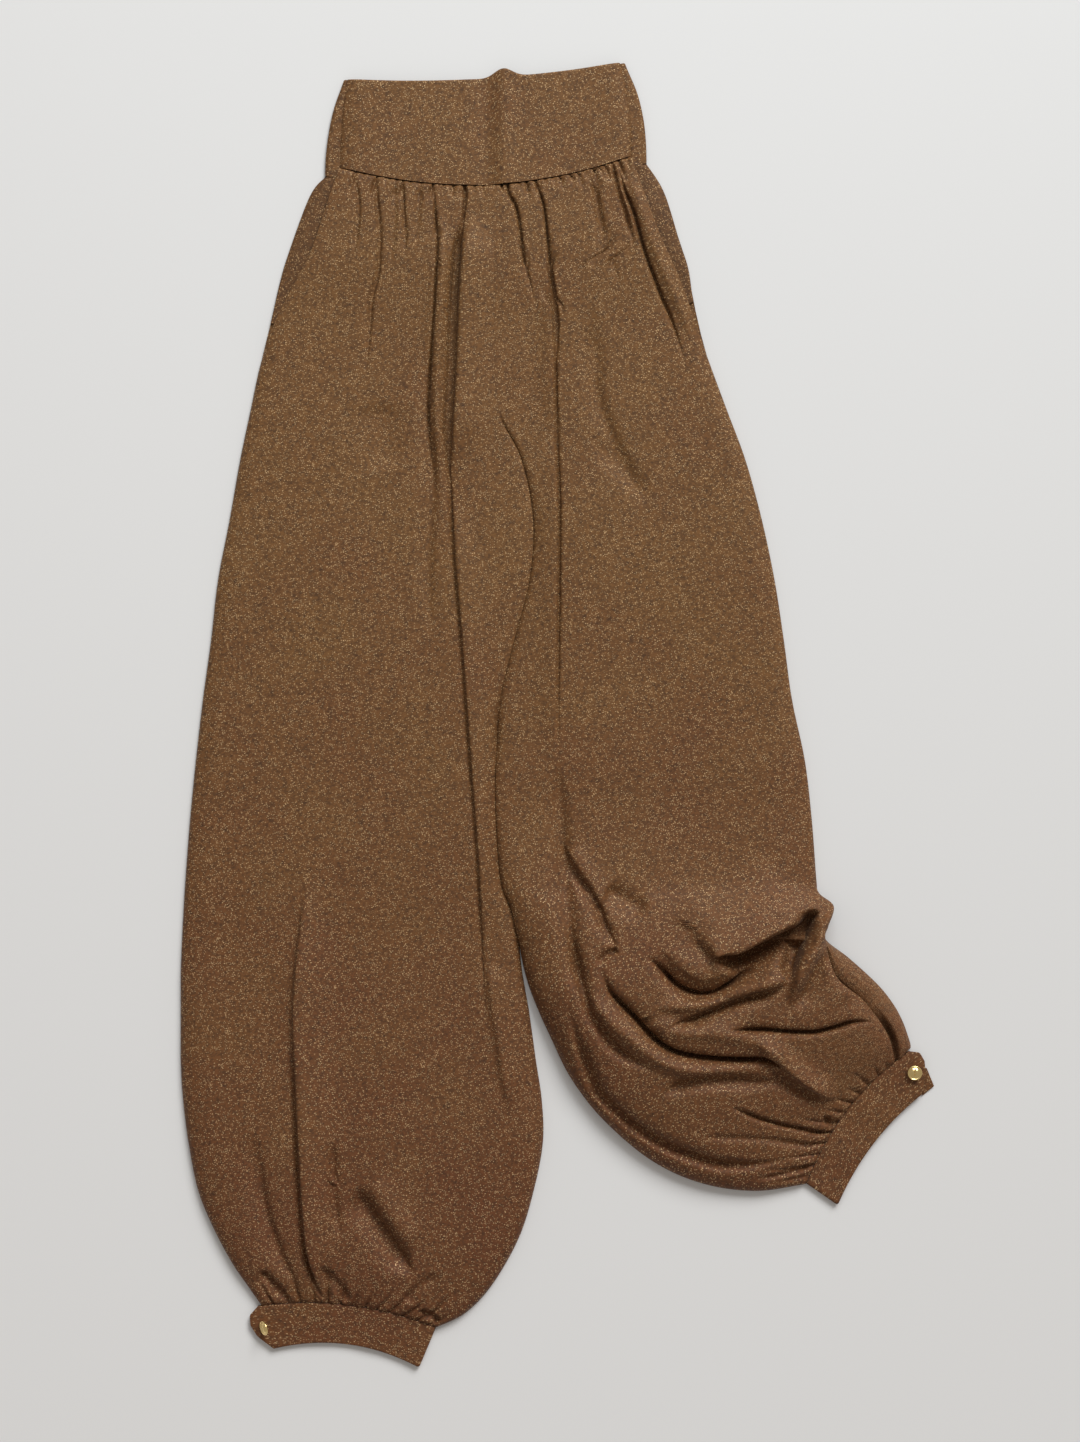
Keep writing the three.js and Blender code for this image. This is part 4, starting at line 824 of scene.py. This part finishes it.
def leg_front(name, leg, columns, downs):
    """A front panel. Its first and last rows run on under the seams, as the cloth points there."""
    u = leg.spread(downs, columns).ravel()
    down = np.repeat(downs, columns + 1)
    points = leg.front(u, down)
    calm = smooth((points[:, 2] - bed) / edge_round)
    points[:, 2] += calm * unevenness(points[:, 0], points[:, 1])
    width = np.hypot(*np.subtract(*leg.ends(leg.row(down))))
    weave = np.stack([(u - 0.5) * width, -down], 1)
    shape = (len(downs), columns + 1)
    places = points.reshape(*shape, 3)
    for edge, inside in ((0, 4), (-1, -5)):
        away = places[edge, :, :2] - places[inside, :, :2]
        places[edge, :, :2] += seam_tuck * away / np.hypot(*away.T)[:, None]
        places[edge, :, 2] -= seam_tuck
    return cloth_piece(name, places, weave.reshape(*shape, 2), cloth)


def rows_down(*stretches):
    """Distances down a leg: each stretch is where it ends and how far apart its rows are."""
    downs = [0.0]
    for end, step in stretches:
        count = max(round((end - downs[-1]) / step), 1)
        downs.extend(np.linspace(downs[-1], end, count + 1)[1:])
    return np.array(downs)


# Rows stand closer in the gathers, and in the right leg's drawn-up stretch.
gathers_end = 0.03
cuff_gathers_start = left_leg.length - 0.05
heap_top = np.interp(heap_start - 1, right_leg.index, right_leg.down)
left_downs = rows_down((gathers_end, 0.0015), (0.3, 0.004), (cuff_gathers_start, 0.0045),
                       (left_leg.length, 0.0015))
right_downs = rows_down((gathers_end, 0.0015), (heap_top, 0.0085), (right_leg.length, 0.0017))
left_front = leg_front("left_leg_front", left_leg, 170, left_downs)
right_front = leg_front("right_leg_front", right_leg, 150, right_downs)
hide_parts("leg_left_front")
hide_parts("leg_right_front")

# Leg backs: the same two panels behind, flat on the table. The right one is wider than the
# front at the slit above the cuff, where its edge rolls up and shows.
back_height = 0.0014
# How uneven cloth below the front is, as a share of the front.
back_calm = 0.4
# The share of the right back's columns that lie under the front; the others make the roll.
body_share = 0.78
# The sections between which the slit begins, the one below which it parts, how far the roll
# sinks beside the front's edge there, and how wide that gap is as a share of the roll.
slit_start, slit_run = 16.4, 2
slit_parting, parting_run = 20.5, 2.5
parting_depth = 0.75
parting_width = 0.3
# The roll, as shares of its width out past the front's edge and of the height of that edge.
slit_roll = [(0, 0.92), (0.05, 0.98), (0.3, 1.02), (0.6, 0.92), (0.85, 0.62), (1, 0.18)]


def rolled_edge(leg, row, u, flat_z, index):
    """Where the back's points lie once its edge rolls up beside the front's, at the slit."""
    west, east = leg.ends(row)
    flat_x, flat_y = across(west, east, row[4], np.minimum(u / body_share, 1))
    out = np.clip((u - body_share) / (1 - body_share), 0, 1)
    roll_x, roll_y = mix(east, leg.ends(row, fold=True)[1], out)
    shares = np.array(slit_roll)
    parting = parting_depth * smooth((index - slit_parting) / parting_run)
    front_edge = bed + row[6]
    roll_z = np.interp(out, *shares.T) * front_edge
    roll_z = roll_z * (1 - parting * np.exp(-((out / parting_width) ** 4)))
    rising = smooth((u / body_share - 0.9) / 0.1)
    edge_z = mix(flat_z, shares[0, 1] * (1 - parting) * front_edge, rising)
    rolled = u > body_share
    return np.where(rolled, [roll_x, roll_y, roll_z], [flat_x, flat_y, edge_z])


def leg_back(name, leg, columns, downs):
    """A back panel, flat on the table and a little less uneven than a front."""
    u, down = (grid.ravel() for grid in np.meshgrid(np.linspace(0, 1, columns + 1), downs))
    row = leg.row(down)
    west, east = leg.ends(row, fold=True)
    x, y = across(west, east, row[4], u)
    z = back_height + back_calm * unevenness(x, y + 0.5)
    if not leg.outer_is_west:
        index = np.interp(down, leg.down, leg.index)
        open_share = smooth((index - slit_start) / slit_run)
        x, y, z = mix(np.stack([x, y, z]), rolled_edge(leg, row, u, z, index), open_share)
    weave = np.stack([(u - 0.5) * np.hypot(*(east - west)), -down], 1)
    shape = (len(downs), columns + 1)
    points = np.stack([x, y, z], 1)
    return cloth_piece(name, points.reshape(*shape, 3), weave.reshape(*shape, 2), cloth)


left_back = leg_back("left_leg_back", left_leg, 60, np.linspace(0, left_leg.length, 181))
right_back = leg_back("right_leg_back", right_leg, 90, right_downs[::2])
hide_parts("leg_left_back")
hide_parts("leg_right_back")

# Pockets: a backing of the same jersey at each hip, sewn into the side and the waist seam. It
# shows between the leg's side and the slanting edge of the front, under which it runs on.
# The backing is coloured darker and redder: painted shade, as it lies lower and slopes away.
shaded_brown = (0.13, 0.056, 0.016, 1)
shaded_warm_brown = (0.11, 0.043, 0.012, 1)
shaded_gold = (0.9, 0.58, 0.28, 1)
shaded_knit = knit_finish("shaded_knit", shaded_brown, shaded_warm_brown, dark_brown, shaded_gold)
# The backing ends at this section. How far in from the front's edge it passes the mouth and
# ends, and how far it lies below the front's face there.
pocket_end = 4
pocket_mouth = 0.0005
pocket_tuck = 0.007
pocket_drop = 0.0058
# From the leg's outer fold to the mouth: shares of the way across, and of the rise.
pocket_rise = [(0.12, 0.6), (0.5, 0.95)]


def pocket(name, leg):
    """The backing that shows, from the leg's outer fold to a little way under the front."""
    end = np.interp(pocket_end, leg.index, leg.down)
    downs = np.linspace(0, end, 61)
    row = leg.row(downs)
    west, east = leg.ends(row)
    width = np.hypot(*(east - west))

    def under(distance):
        u = distance / width
        return leg.front(u if leg.outer_is_west else 1 - u, downs) - (0, 0, pocket_drop)

    mouth = under(pocket_mouth)
    tucked = under(pocket_tuck)
    tucked[:, 2] = np.minimum(tucked[:, 2], mouth[:, 2])
    fold = np.column_stack([row[2], row[3], np.full(len(downs), edge_height)])
    lines = [fold, *(mix(fold, mouth, share) for share, _ in pocket_rise), mouth, tucked]
    for line, (_, rise) in zip(lines[1:], pocket_rise):
        line[:, 2] = mix(fold[:, 2], mouth[:, 2], rise)
    for line in lines[1:]:
        line[:, 2] = np.maximum(line[:, 2], bed)
    columns = 18
    rows = spline(np.array(lines).reshape(5, -1), np.linspace(0, 4, columns + 1))
    places = rows.reshape(columns + 1, len(downs), 3).transpose(1, 0, 2)
    if not leg.outer_is_west:
        places = places[:, ::-1]
    weave = places[..., :2].copy()
    swell = unevenness(*weave.reshape(-1, 2).T).reshape(weave.shape[:2])
    places[..., 2] += back_calm * swell
    return cloth_piece(name, places, weave, cloth, shaded_knit)


left_pocket = pocket("left_pocket_backing", left_leg)
right_pocket = pocket("right_pocket_backing", right_leg)
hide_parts("pocket_left")
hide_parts("pocket_right")

# Waistband: one wide band of the same knit, doubled over at the top, with a seam at each side.
# The back half is a little wider and rolls round to the front at both side seams.
band_cloth = 0.0016
band_bed = 0.0047
seam_gap = 0.0003
# Front's west and east edge, back's west and east fold, from the top down.
band_sides = [
    (-0.181, 0.053, -0.184, 0.0575),
    (-0.1835, 0.0575, -0.19, 0.0655),
    (-0.1855, 0.062, -0.195, 0.072),
    (-0.187, 0.0625, -0.2, 0.076),
]
# Its top edge: height at both ends, how far it sags between them, and a bump where the cloth is
# pushed up: place, rise and half-width.
band_west_y = 0.546
band_east_y = 0.5605
band_bow = -0.007
bump_x, bump_rise, bump_half = -0.047, 0.007, 0.011
# How far the back's seam line is bowed, as a share of the front's.
back_bow = 0.6
band_puff = 0.004
# How the band swells: as a share of the legs' cloth, and how much closer together.
band_swell, swell_pace = 0.8, 1.5
# How far in from the top fold the band rounds up, and how far down its face starts there.
band_hem = 0.0022
band_hem_drop = 0.0011
# The band's back: its height, how it curls up outside the front, over what distances, and how
# far down it starts at the top.
band_back_height = 0.0024
curl_rise, curl_round, curl_start = 0.0022, 0.0018, 0.0012
back_hem_drop = 0.0007
# Soft folds down the band's front: place, rise and half-width.
band_folds = [(-0.047, 0.002, 0.009), (-0.061, -0.0024, 0.01), (0.02, -0.001, 0.03)]


def waist_line(u, front):
    """The waist seam's place at u of the way across both legs."""
    places = np.zeros((2, len(u)))
    for leg, share, inside in ((left_leg, u * 2, u < 0.5), (right_leg, u * 2 - 1, u >= 0.5)):
        row = leg.row(np.zeros(len(u)))
        bow = row[4] if front else row[4] * back_bow
        places[:, inside] = across(*leg.ends(row, fold=not front), bow, share)[:, inside]
    return places


def band_place(level, u, front):
    """A place on the band: level is 0 at the top and 1 in the waist seam."""
    sides = spline(band_sides, level * (len(band_sides) - 1)).T
    west, east = sides[:2] if front else sides[2:]
    x = mix(west, east, u)
    high = mix(band_west_y, band_east_y, u) + band_bow * 4 * u * (1 - u)
    if front:
        high = high + bump_rise * np.exp(-(((x - bump_x) / bump_half) ** 2))
    seam_x, seam_y = waist_line(u, front)
    return mix(x, seam_x, level), mix(high, seam_y + seam_gap, level)


def close_ends(count, share):
    """Places from 0 to 1 that stand closer at both ends."""
    even = np.linspace(0, 1, count + 1)
    return mix(even, (1 - np.cos(np.pi * even)) / 2, share)


def band_piece(name, columns, rows, front):
    """The band's front, gently folded, or its back, whose sides curl up past the front's."""
    levels = close_ends(rows, 0.7)
    u, level = (grid.ravel() for grid in np.meshgrid(np.linspace(0, 1, columns + 1), levels))
    x, y = band_place(level, u, front)
    depth = band_place(np.ones_like(u), u, front)[1] - band_place(np.zeros_like(u), u, front)[1]
    hem = rounded(level * np.abs(depth) / band_hem)
    if front:
        side = from_sides(u)
        folds = sum(rise * np.exp(-(((x - place) / half) ** 2))
                    for place, rise, half in band_folds)
        z = band_bed + side * (band_puff + folds) - band_hem_drop * (1 - hem)
        z = z + side * band_swell * unevenness(x * swell_pace, y * swell_pace)
    else:
        sides = spline(band_sides, level * (len(band_sides) - 1)).T
        outside = np.maximum(sides[0] - x, x - sides[1])
        edge = np.minimum(u, 1 - u) * (sides[3] - sides[2])
        curl = rounded(edge / curl_round) * smooth(outside / curl_start + 1)
        z = band_back_height + curl_rise * curl - back_hem_drop * (1 - hem)
    weave = np.stack([x, -level * np.abs(depth)], 1)
    shape = (rows + 1, columns + 1)
    return cloth_piece(name, np.stack([x, y, z], 1).reshape(*shape, 3), weave.reshape(*shape, 2),
                       band_cloth)


band_front = band_piece("waistband_front_half", 180, 56, True)
band_back = band_piece("waistband_back_half", 180, 40, False)
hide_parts("waistband_front")
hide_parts("waistband_back")

# Cuffs: each a strip of doubled knit folded back on itself, with a rounded tab that laps over
# the other end and buttons there. Its upper edge is sewn to the gathered leg.
cuff_cloth = 0.0018
# Half the height of the folded strip, the share of it that is left at the strip's edges, the
# distance over which these round off, and the gap to the leg's last row.
cuff_fold = 0.00235
flat_edge = 0.74
edge_roll = 0.0016
cuff_gap = seam_gap * 1.3
# The share of the strip's length in which its ends reach out to the tab and the underlap, and
# the shapes of these from the seam to the hem.
reach_share = 1 / 7
tab_shape = [0, 0.8, 1, 0.8, 0]
underlap_shape = [0, 0.5, 0.85, 1, 0.25]
cuff_ripple, ripple_pace, ripple_slant = 0.00025, 19, 2


def cuff(name, leg, closed_at, tab_at, hem_closed, hem_tab, hem_bow, tab_reach, under_reach):
    """A strip that runs from its tab to its closed end, turns there and comes back below.

    closed_at and tab_at are its ends on the leg's last section; hem_closed and hem_tab are the
    ends of its lower edge. Along the strip s is 0 at the tab, and turn is 0 above and 1 below.
    """
    hem_closed = np.array(hem_closed)
    hem_tab = np.array(hem_tab)
    strip = np.hypot(*(hem_closed - hem_tab))
    along = (hem_tab - hem_closed) / strip
    stations, turn_steps, widths = 70, 8, 20
    inset = 1 - cuff_fold / strip
    s = np.concatenate([np.linspace(0, 1, stations + 1), np.ones(turn_steps - 1),
                        np.linspace(1, 0, stations + 1)])
    turn = np.concatenate([np.zeros(stations + 1), np.arange(1, turn_steps) / turn_steps,
                           np.ones(stations + 1)])
    s, w = np.meshgrid(s, close_ends(widths, 0.8))
    turn = np.broadcast_to(turn, s.shape).ravel()
    s, w = s.ravel() * inset, w.ravel()
    row = leg.row(np.full(len(s), leg.length))
    seam = across(*leg.ends(row), row[4], mix(tab_at, closed_at, s))
    ends = hem_tab[:, None], hem_closed[:, None]
    hem = across(*ends, hem_bow, s) if closed_at else across(*ends[::-1], hem_bow, 1 - s)
    height = np.hypot(*(hem - seam))
    down = mix(cuff_gap / height, 1, w)
    tab = tab_reach * np.interp(w, np.linspace(0, 1, len(tab_shape)), tab_shape)
    underlap = under_reach * np.interp(w, np.linspace(0, 1, len(underlap_shape)), underlap_shape)
    reach = np.where(turn > 0.5, underlap, tab) * np.clip(1 - s / reach_share, 0, 1)
    x, y = mix(seam, hem, down) + along[:, None] * reach
    edge = rounded(np.minimum(w, 1 - w) * height / edge_roll)
    end = rounded(s * strip / edge_roll)
    radius = cuff_fold * mix(flat_edge, 1, edge * end)
    x, y = np.stack([x, y]) - along[:, None] * radius * np.sin(np.pi * turn)
    z = cuff_fold + radius * np.cos(np.pi * turn)
    ripple = cuff_ripple * np.sin(s * ripple_pace + w * ripple_slant) * (turn < 0.5) * edge
    points = np.stack([x, y, z + ripple], 1).reshape(widths + 1, -1, 3)
    weave = np.stack([s * strip, -w * height], 1).reshape(widths + 1, -1, 2)
    if not closed_at:
        points, weave = points[:, ::-1], weave[:, ::-1]
    return cloth_piece(name, points, weave, cuff_cloth)


left_cuff = cuff("left_cuff_band", left_leg, closed_at=1, tab_at=-0.02,
                 hem_closed=(-0.119, -0.5595), hem_tab=(-0.244, -0.543), hem_bow=0.012,
                 tab_reach=0.013, under_reach=0.005)
right_cuff = cuff("right_cuff_band", right_leg, closed_at=0, tab_at=1.12,
                  hem_closed=(0.24, -0.42), hem_tab=(0.312, -0.325), hem_bow=0.0075,
                  tab_reach=0.0128, under_reach=0.0115)
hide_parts("cuff_left")
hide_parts("cuff_right")

# Underlap of the right cuff: the end of its strip that the tab buttons over, of the same knit. It
# runs on past the slit, and its square corner shows beyond the tab.
underlap_height = 0.0019
underlap_wave = 0.0006
underlap_hem_drop = 0.0008
underlap_hem = 1 / 14
# Its corners: north-west, north-east, south-west and south-east.
underlap_corners = [(0.295, -0.302), (0.3168, -0.3025), (0.3135, -0.3262), (0.3232, -0.318)]
u, v = np.meshgrid(np.linspace(0, 1, 25), np.linspace(0, 1, 25))
corners = [np.array(corner)[:, None, None] for corner in underlap_corners]
lap_x, lap_y = mix(mix(*corners[:2], u), mix(*corners[2:], u), v)
hem = rounded(np.minimum(np.minimum(1 - u, v), 1 - v) / underlap_hem)
lap_z = underlap_height + underlap_wave * np.sin(3 * u + 4 * v) * (1 - u)
lap_z = lap_z - underlap_hem_drop * (1 - hem)
right_underlap = cloth_piece("right_cuff_underlap", np.stack([lap_x, lap_y, lap_z], 2),
                             np.stack([lap_x, lap_y], 2), cloth)
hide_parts("cuff_right")

# Buttons: small domed metal buttons with a raised rim and a short groove across the face, each
# on a shank sewn through the tab. The right one lies square and the left one has flopped over.
button_radius = 0.0063
button_rest = band_bed + seam_gap
# The flopped button stands on its rim, so its middle is higher by this.
flopped_rise = 0.00345
# The groove: depth, half of its width and length, and the level above which it is pressed in.
groove_depth = 0.0011
groove_half_width, groove_half_length = 0.0006, 0.003
face_level = 0.004
# From the shank round the rim to the middle of the face: radius and height.
button_profile = [
    (0.0016, 0), (0.0016, 0.0016), (0.0045, 0.0018), (0.0059, 0.0024), (button_radius, 0.0031),
    (0.0062, 0.0036), (0.0058, 0.0040), (0.0053, 0.0039), (0.0049, 0.0034), (0.0045, 0.0035),
    (0.0038, 0.0041), (0.0029, 0.0046), (0.0018, 0.0050), (0.0008, 0.0052), (0, 0.0052),
]
dull_gilt = (0.8, 0.56, 0.2, 1)
bright_gilt = (0.98, 0.78, 0.4, 1)
gilt = Finish("gilt")
worn = gilt.node("ShaderNodeTexCoord", {}, {})["Object"]
haze = gilt.clouds(worn, 900.0, 3.0)
gilt.surface(
    Base_Color=gilt.blend(haze, dull_gilt, bright_gilt),
    Metallic=1.0,
    Roughness=0.14 + haze * 0.16,
    Normal=gilt.bump(haze, 0.15, 0.0002),
)


def button(name, place, tilt, turn):
    """A button with its groove, tilted on its shank and then turned."""
    bm = bmesh.new()
    line = [bm.verts.new((r, 0, z)) for r, z in button_profile]
    edges = [bm.edges.new(pair) for pair in zip(line, line[1:])]
    bmesh.ops.spin(bm, geom=line + edges, axis=(0, 0, 1), cent=(0, 0, 0), angle=math.tau, steps=72,
                   use_merge=True)
    bmesh.ops.remove_doubles(bm, verts=bm.verts, dist=1e-6)
    bmesh.ops.holes_fill(bm, edges=[e for e in bm.edges if e.is_boundary])
    for v in bm.verts:
        if v.co.z > face_level:
            aside, off = v.co.x / groove_half_width, v.co.y / groove_half_length
            v.co.z -= groove_depth * math.exp(-(aside**2) - off**4)
    bmesh.ops.recalc_face_normals(bm, faces=bm.faces)
    bmesh.ops.rotate(bm, verts=bm.verts, matrix=Matrix.Rotation(tilt, 3, "Y"))
    bmesh.ops.rotate(bm, verts=bm.verts, matrix=Matrix.Rotation(turn, 3, "Z"))
    bmesh.ops.translate(bm, verts=bm.verts, vec=place)
    return settle(name, mesh_from(bm, name), gilt)


right_button = button("right_button", (0.3055, -0.3058, button_rest), 0, 0)
left_button = button("left_button", (-0.2493, -0.5232, button_rest + flopped_rise), -0.95, 0.2)
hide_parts("button_right")
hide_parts("button_left")

# Sewing: rows of short dark stitches along the waist seam, over the pockets' tops and where the
# legs join the cuffs. Each stitch is a short slanted thread that sinks into the cloth at its
# ends, as on an overlocked seam.
# Their near-black colour is also painted shadow: the dark of the groove in each seam.
thread_radius = 0.00042
stitch_jitter = 0.16
waist_pitch, pocket_pitch, cuff_pitch = 0.0026, 0.0024, 0.0026
waist_slant, pocket_slant, cuff_slant = 0.24, 0.2, 0.2
# How much of each pitch is thread.
thread_share = 0.85
# The stitches' middles: over the cloth and below the seam at the waist, over the bed at a
# pocket's outer and inner end, and below the cloth at the cuffs.
waist_rise, waist_set_down = 0.0002, 0.0003
pocket_outer_rise, pocket_inner_rise = 0.0004, 0.0008
cuff_sink = 0.0001
# thread_shadow is that painted shadow; thread_brown is the thread's own colour.
thread_shadow = (0.03, 0.013, 0.007, 1)
thread_brown = (0.075, 0.036, 0.019, 1)
thread_and_painted_shadow = Finish("thread_and_painted_shadow")
twist_and_shadow_mix = thread_and_painted_shadow.clouds(thread_and_painted_shadow.node("ShaderNodeTexCoord", {}, {})["Object"], 1400.0)
thread_and_painted_shadow.surface(
    Base_Color=thread_and_painted_shadow.blend(twist_and_shadow_mix, thread_shadow, thread_brown),
    Roughness=0.8,
)


def stitches(name, line, pitch, slant):
    """Stitches along a line of places: the pitch from one to the next, and their slant."""
    line = np.asarray(line, float)
    run = np.concatenate([[0], np.cumsum(np.linalg.norm(np.diff(line, axis=0), axis=1))])
    size = Matrix.Diagonal((thread_share * pitch / 2, thread_radius, thread_radius, 1))
    bm = bmesh.new()
    for k in range(int(run[-1] / pitch)):
        start = k + stitch_jitter * noise.noise((k * 1.7, 0.4, run[-1] * 90))
        a, b = (Vector([np.interp((start + end) * pitch, run, axis) for axis in line.T])
                for end in (0, thread_share))
        lie = Matrix.Rotation(slant, 4, "Z") @ (b - a).to_track_quat("X", "Z").to_matrix().to_4x4()
        bmesh.ops.create_icosphere(bm, subdivisions=2, radius=1,
                                   matrix=Matrix.Translation((a + b) / 2) @ lie @ size)
    return settle(name, mesh_from(bm, name), thread_and_painted_shadow)


seam_u = np.linspace(0.01, 0.99, 240)
seam_x, seam_y = waist_line(seam_u, True)
seam_z = waist_face(seam_u) + waist_rise
waist_row = np.stack([seam_x, seam_y - waist_set_down, seam_z], 1)
stitches("waist_seam_stitches", waist_row, waist_pitch, waist_slant)
for name, end in (("left_pocket_top_stitches", 0.0), ("right_pocket_top_stitches", 1.0)):
    outer_x, outer_y = waist_line(np.array([end]), False)
    inner_x, inner_y = waist_line(np.array([end]), True)
    ends = [(outer_x[0], outer_y[0], bed + pocket_outer_rise),
            (inner_x[0], inner_y[0], bed + pocket_inner_rise)]
    stitches(name, ends, pocket_pitch, pocket_slant)
for name, leg in (("left_cuff_stitches", left_leg), ("right_cuff_stitches", right_leg)):
    cuff_u = np.linspace(0.02, 0.98, 160)
    row = leg.row(np.full(len(cuff_u), leg.length))
    cuff_x, cuff_y = across(*leg.ends(row), row[4], cuff_u)
    line = np.stack([cuff_x, cuff_y, np.full(len(cuff_u), cuff_height - cuff_sink)], 1)
    stitches(name, line, cuff_pitch, cuff_slant)
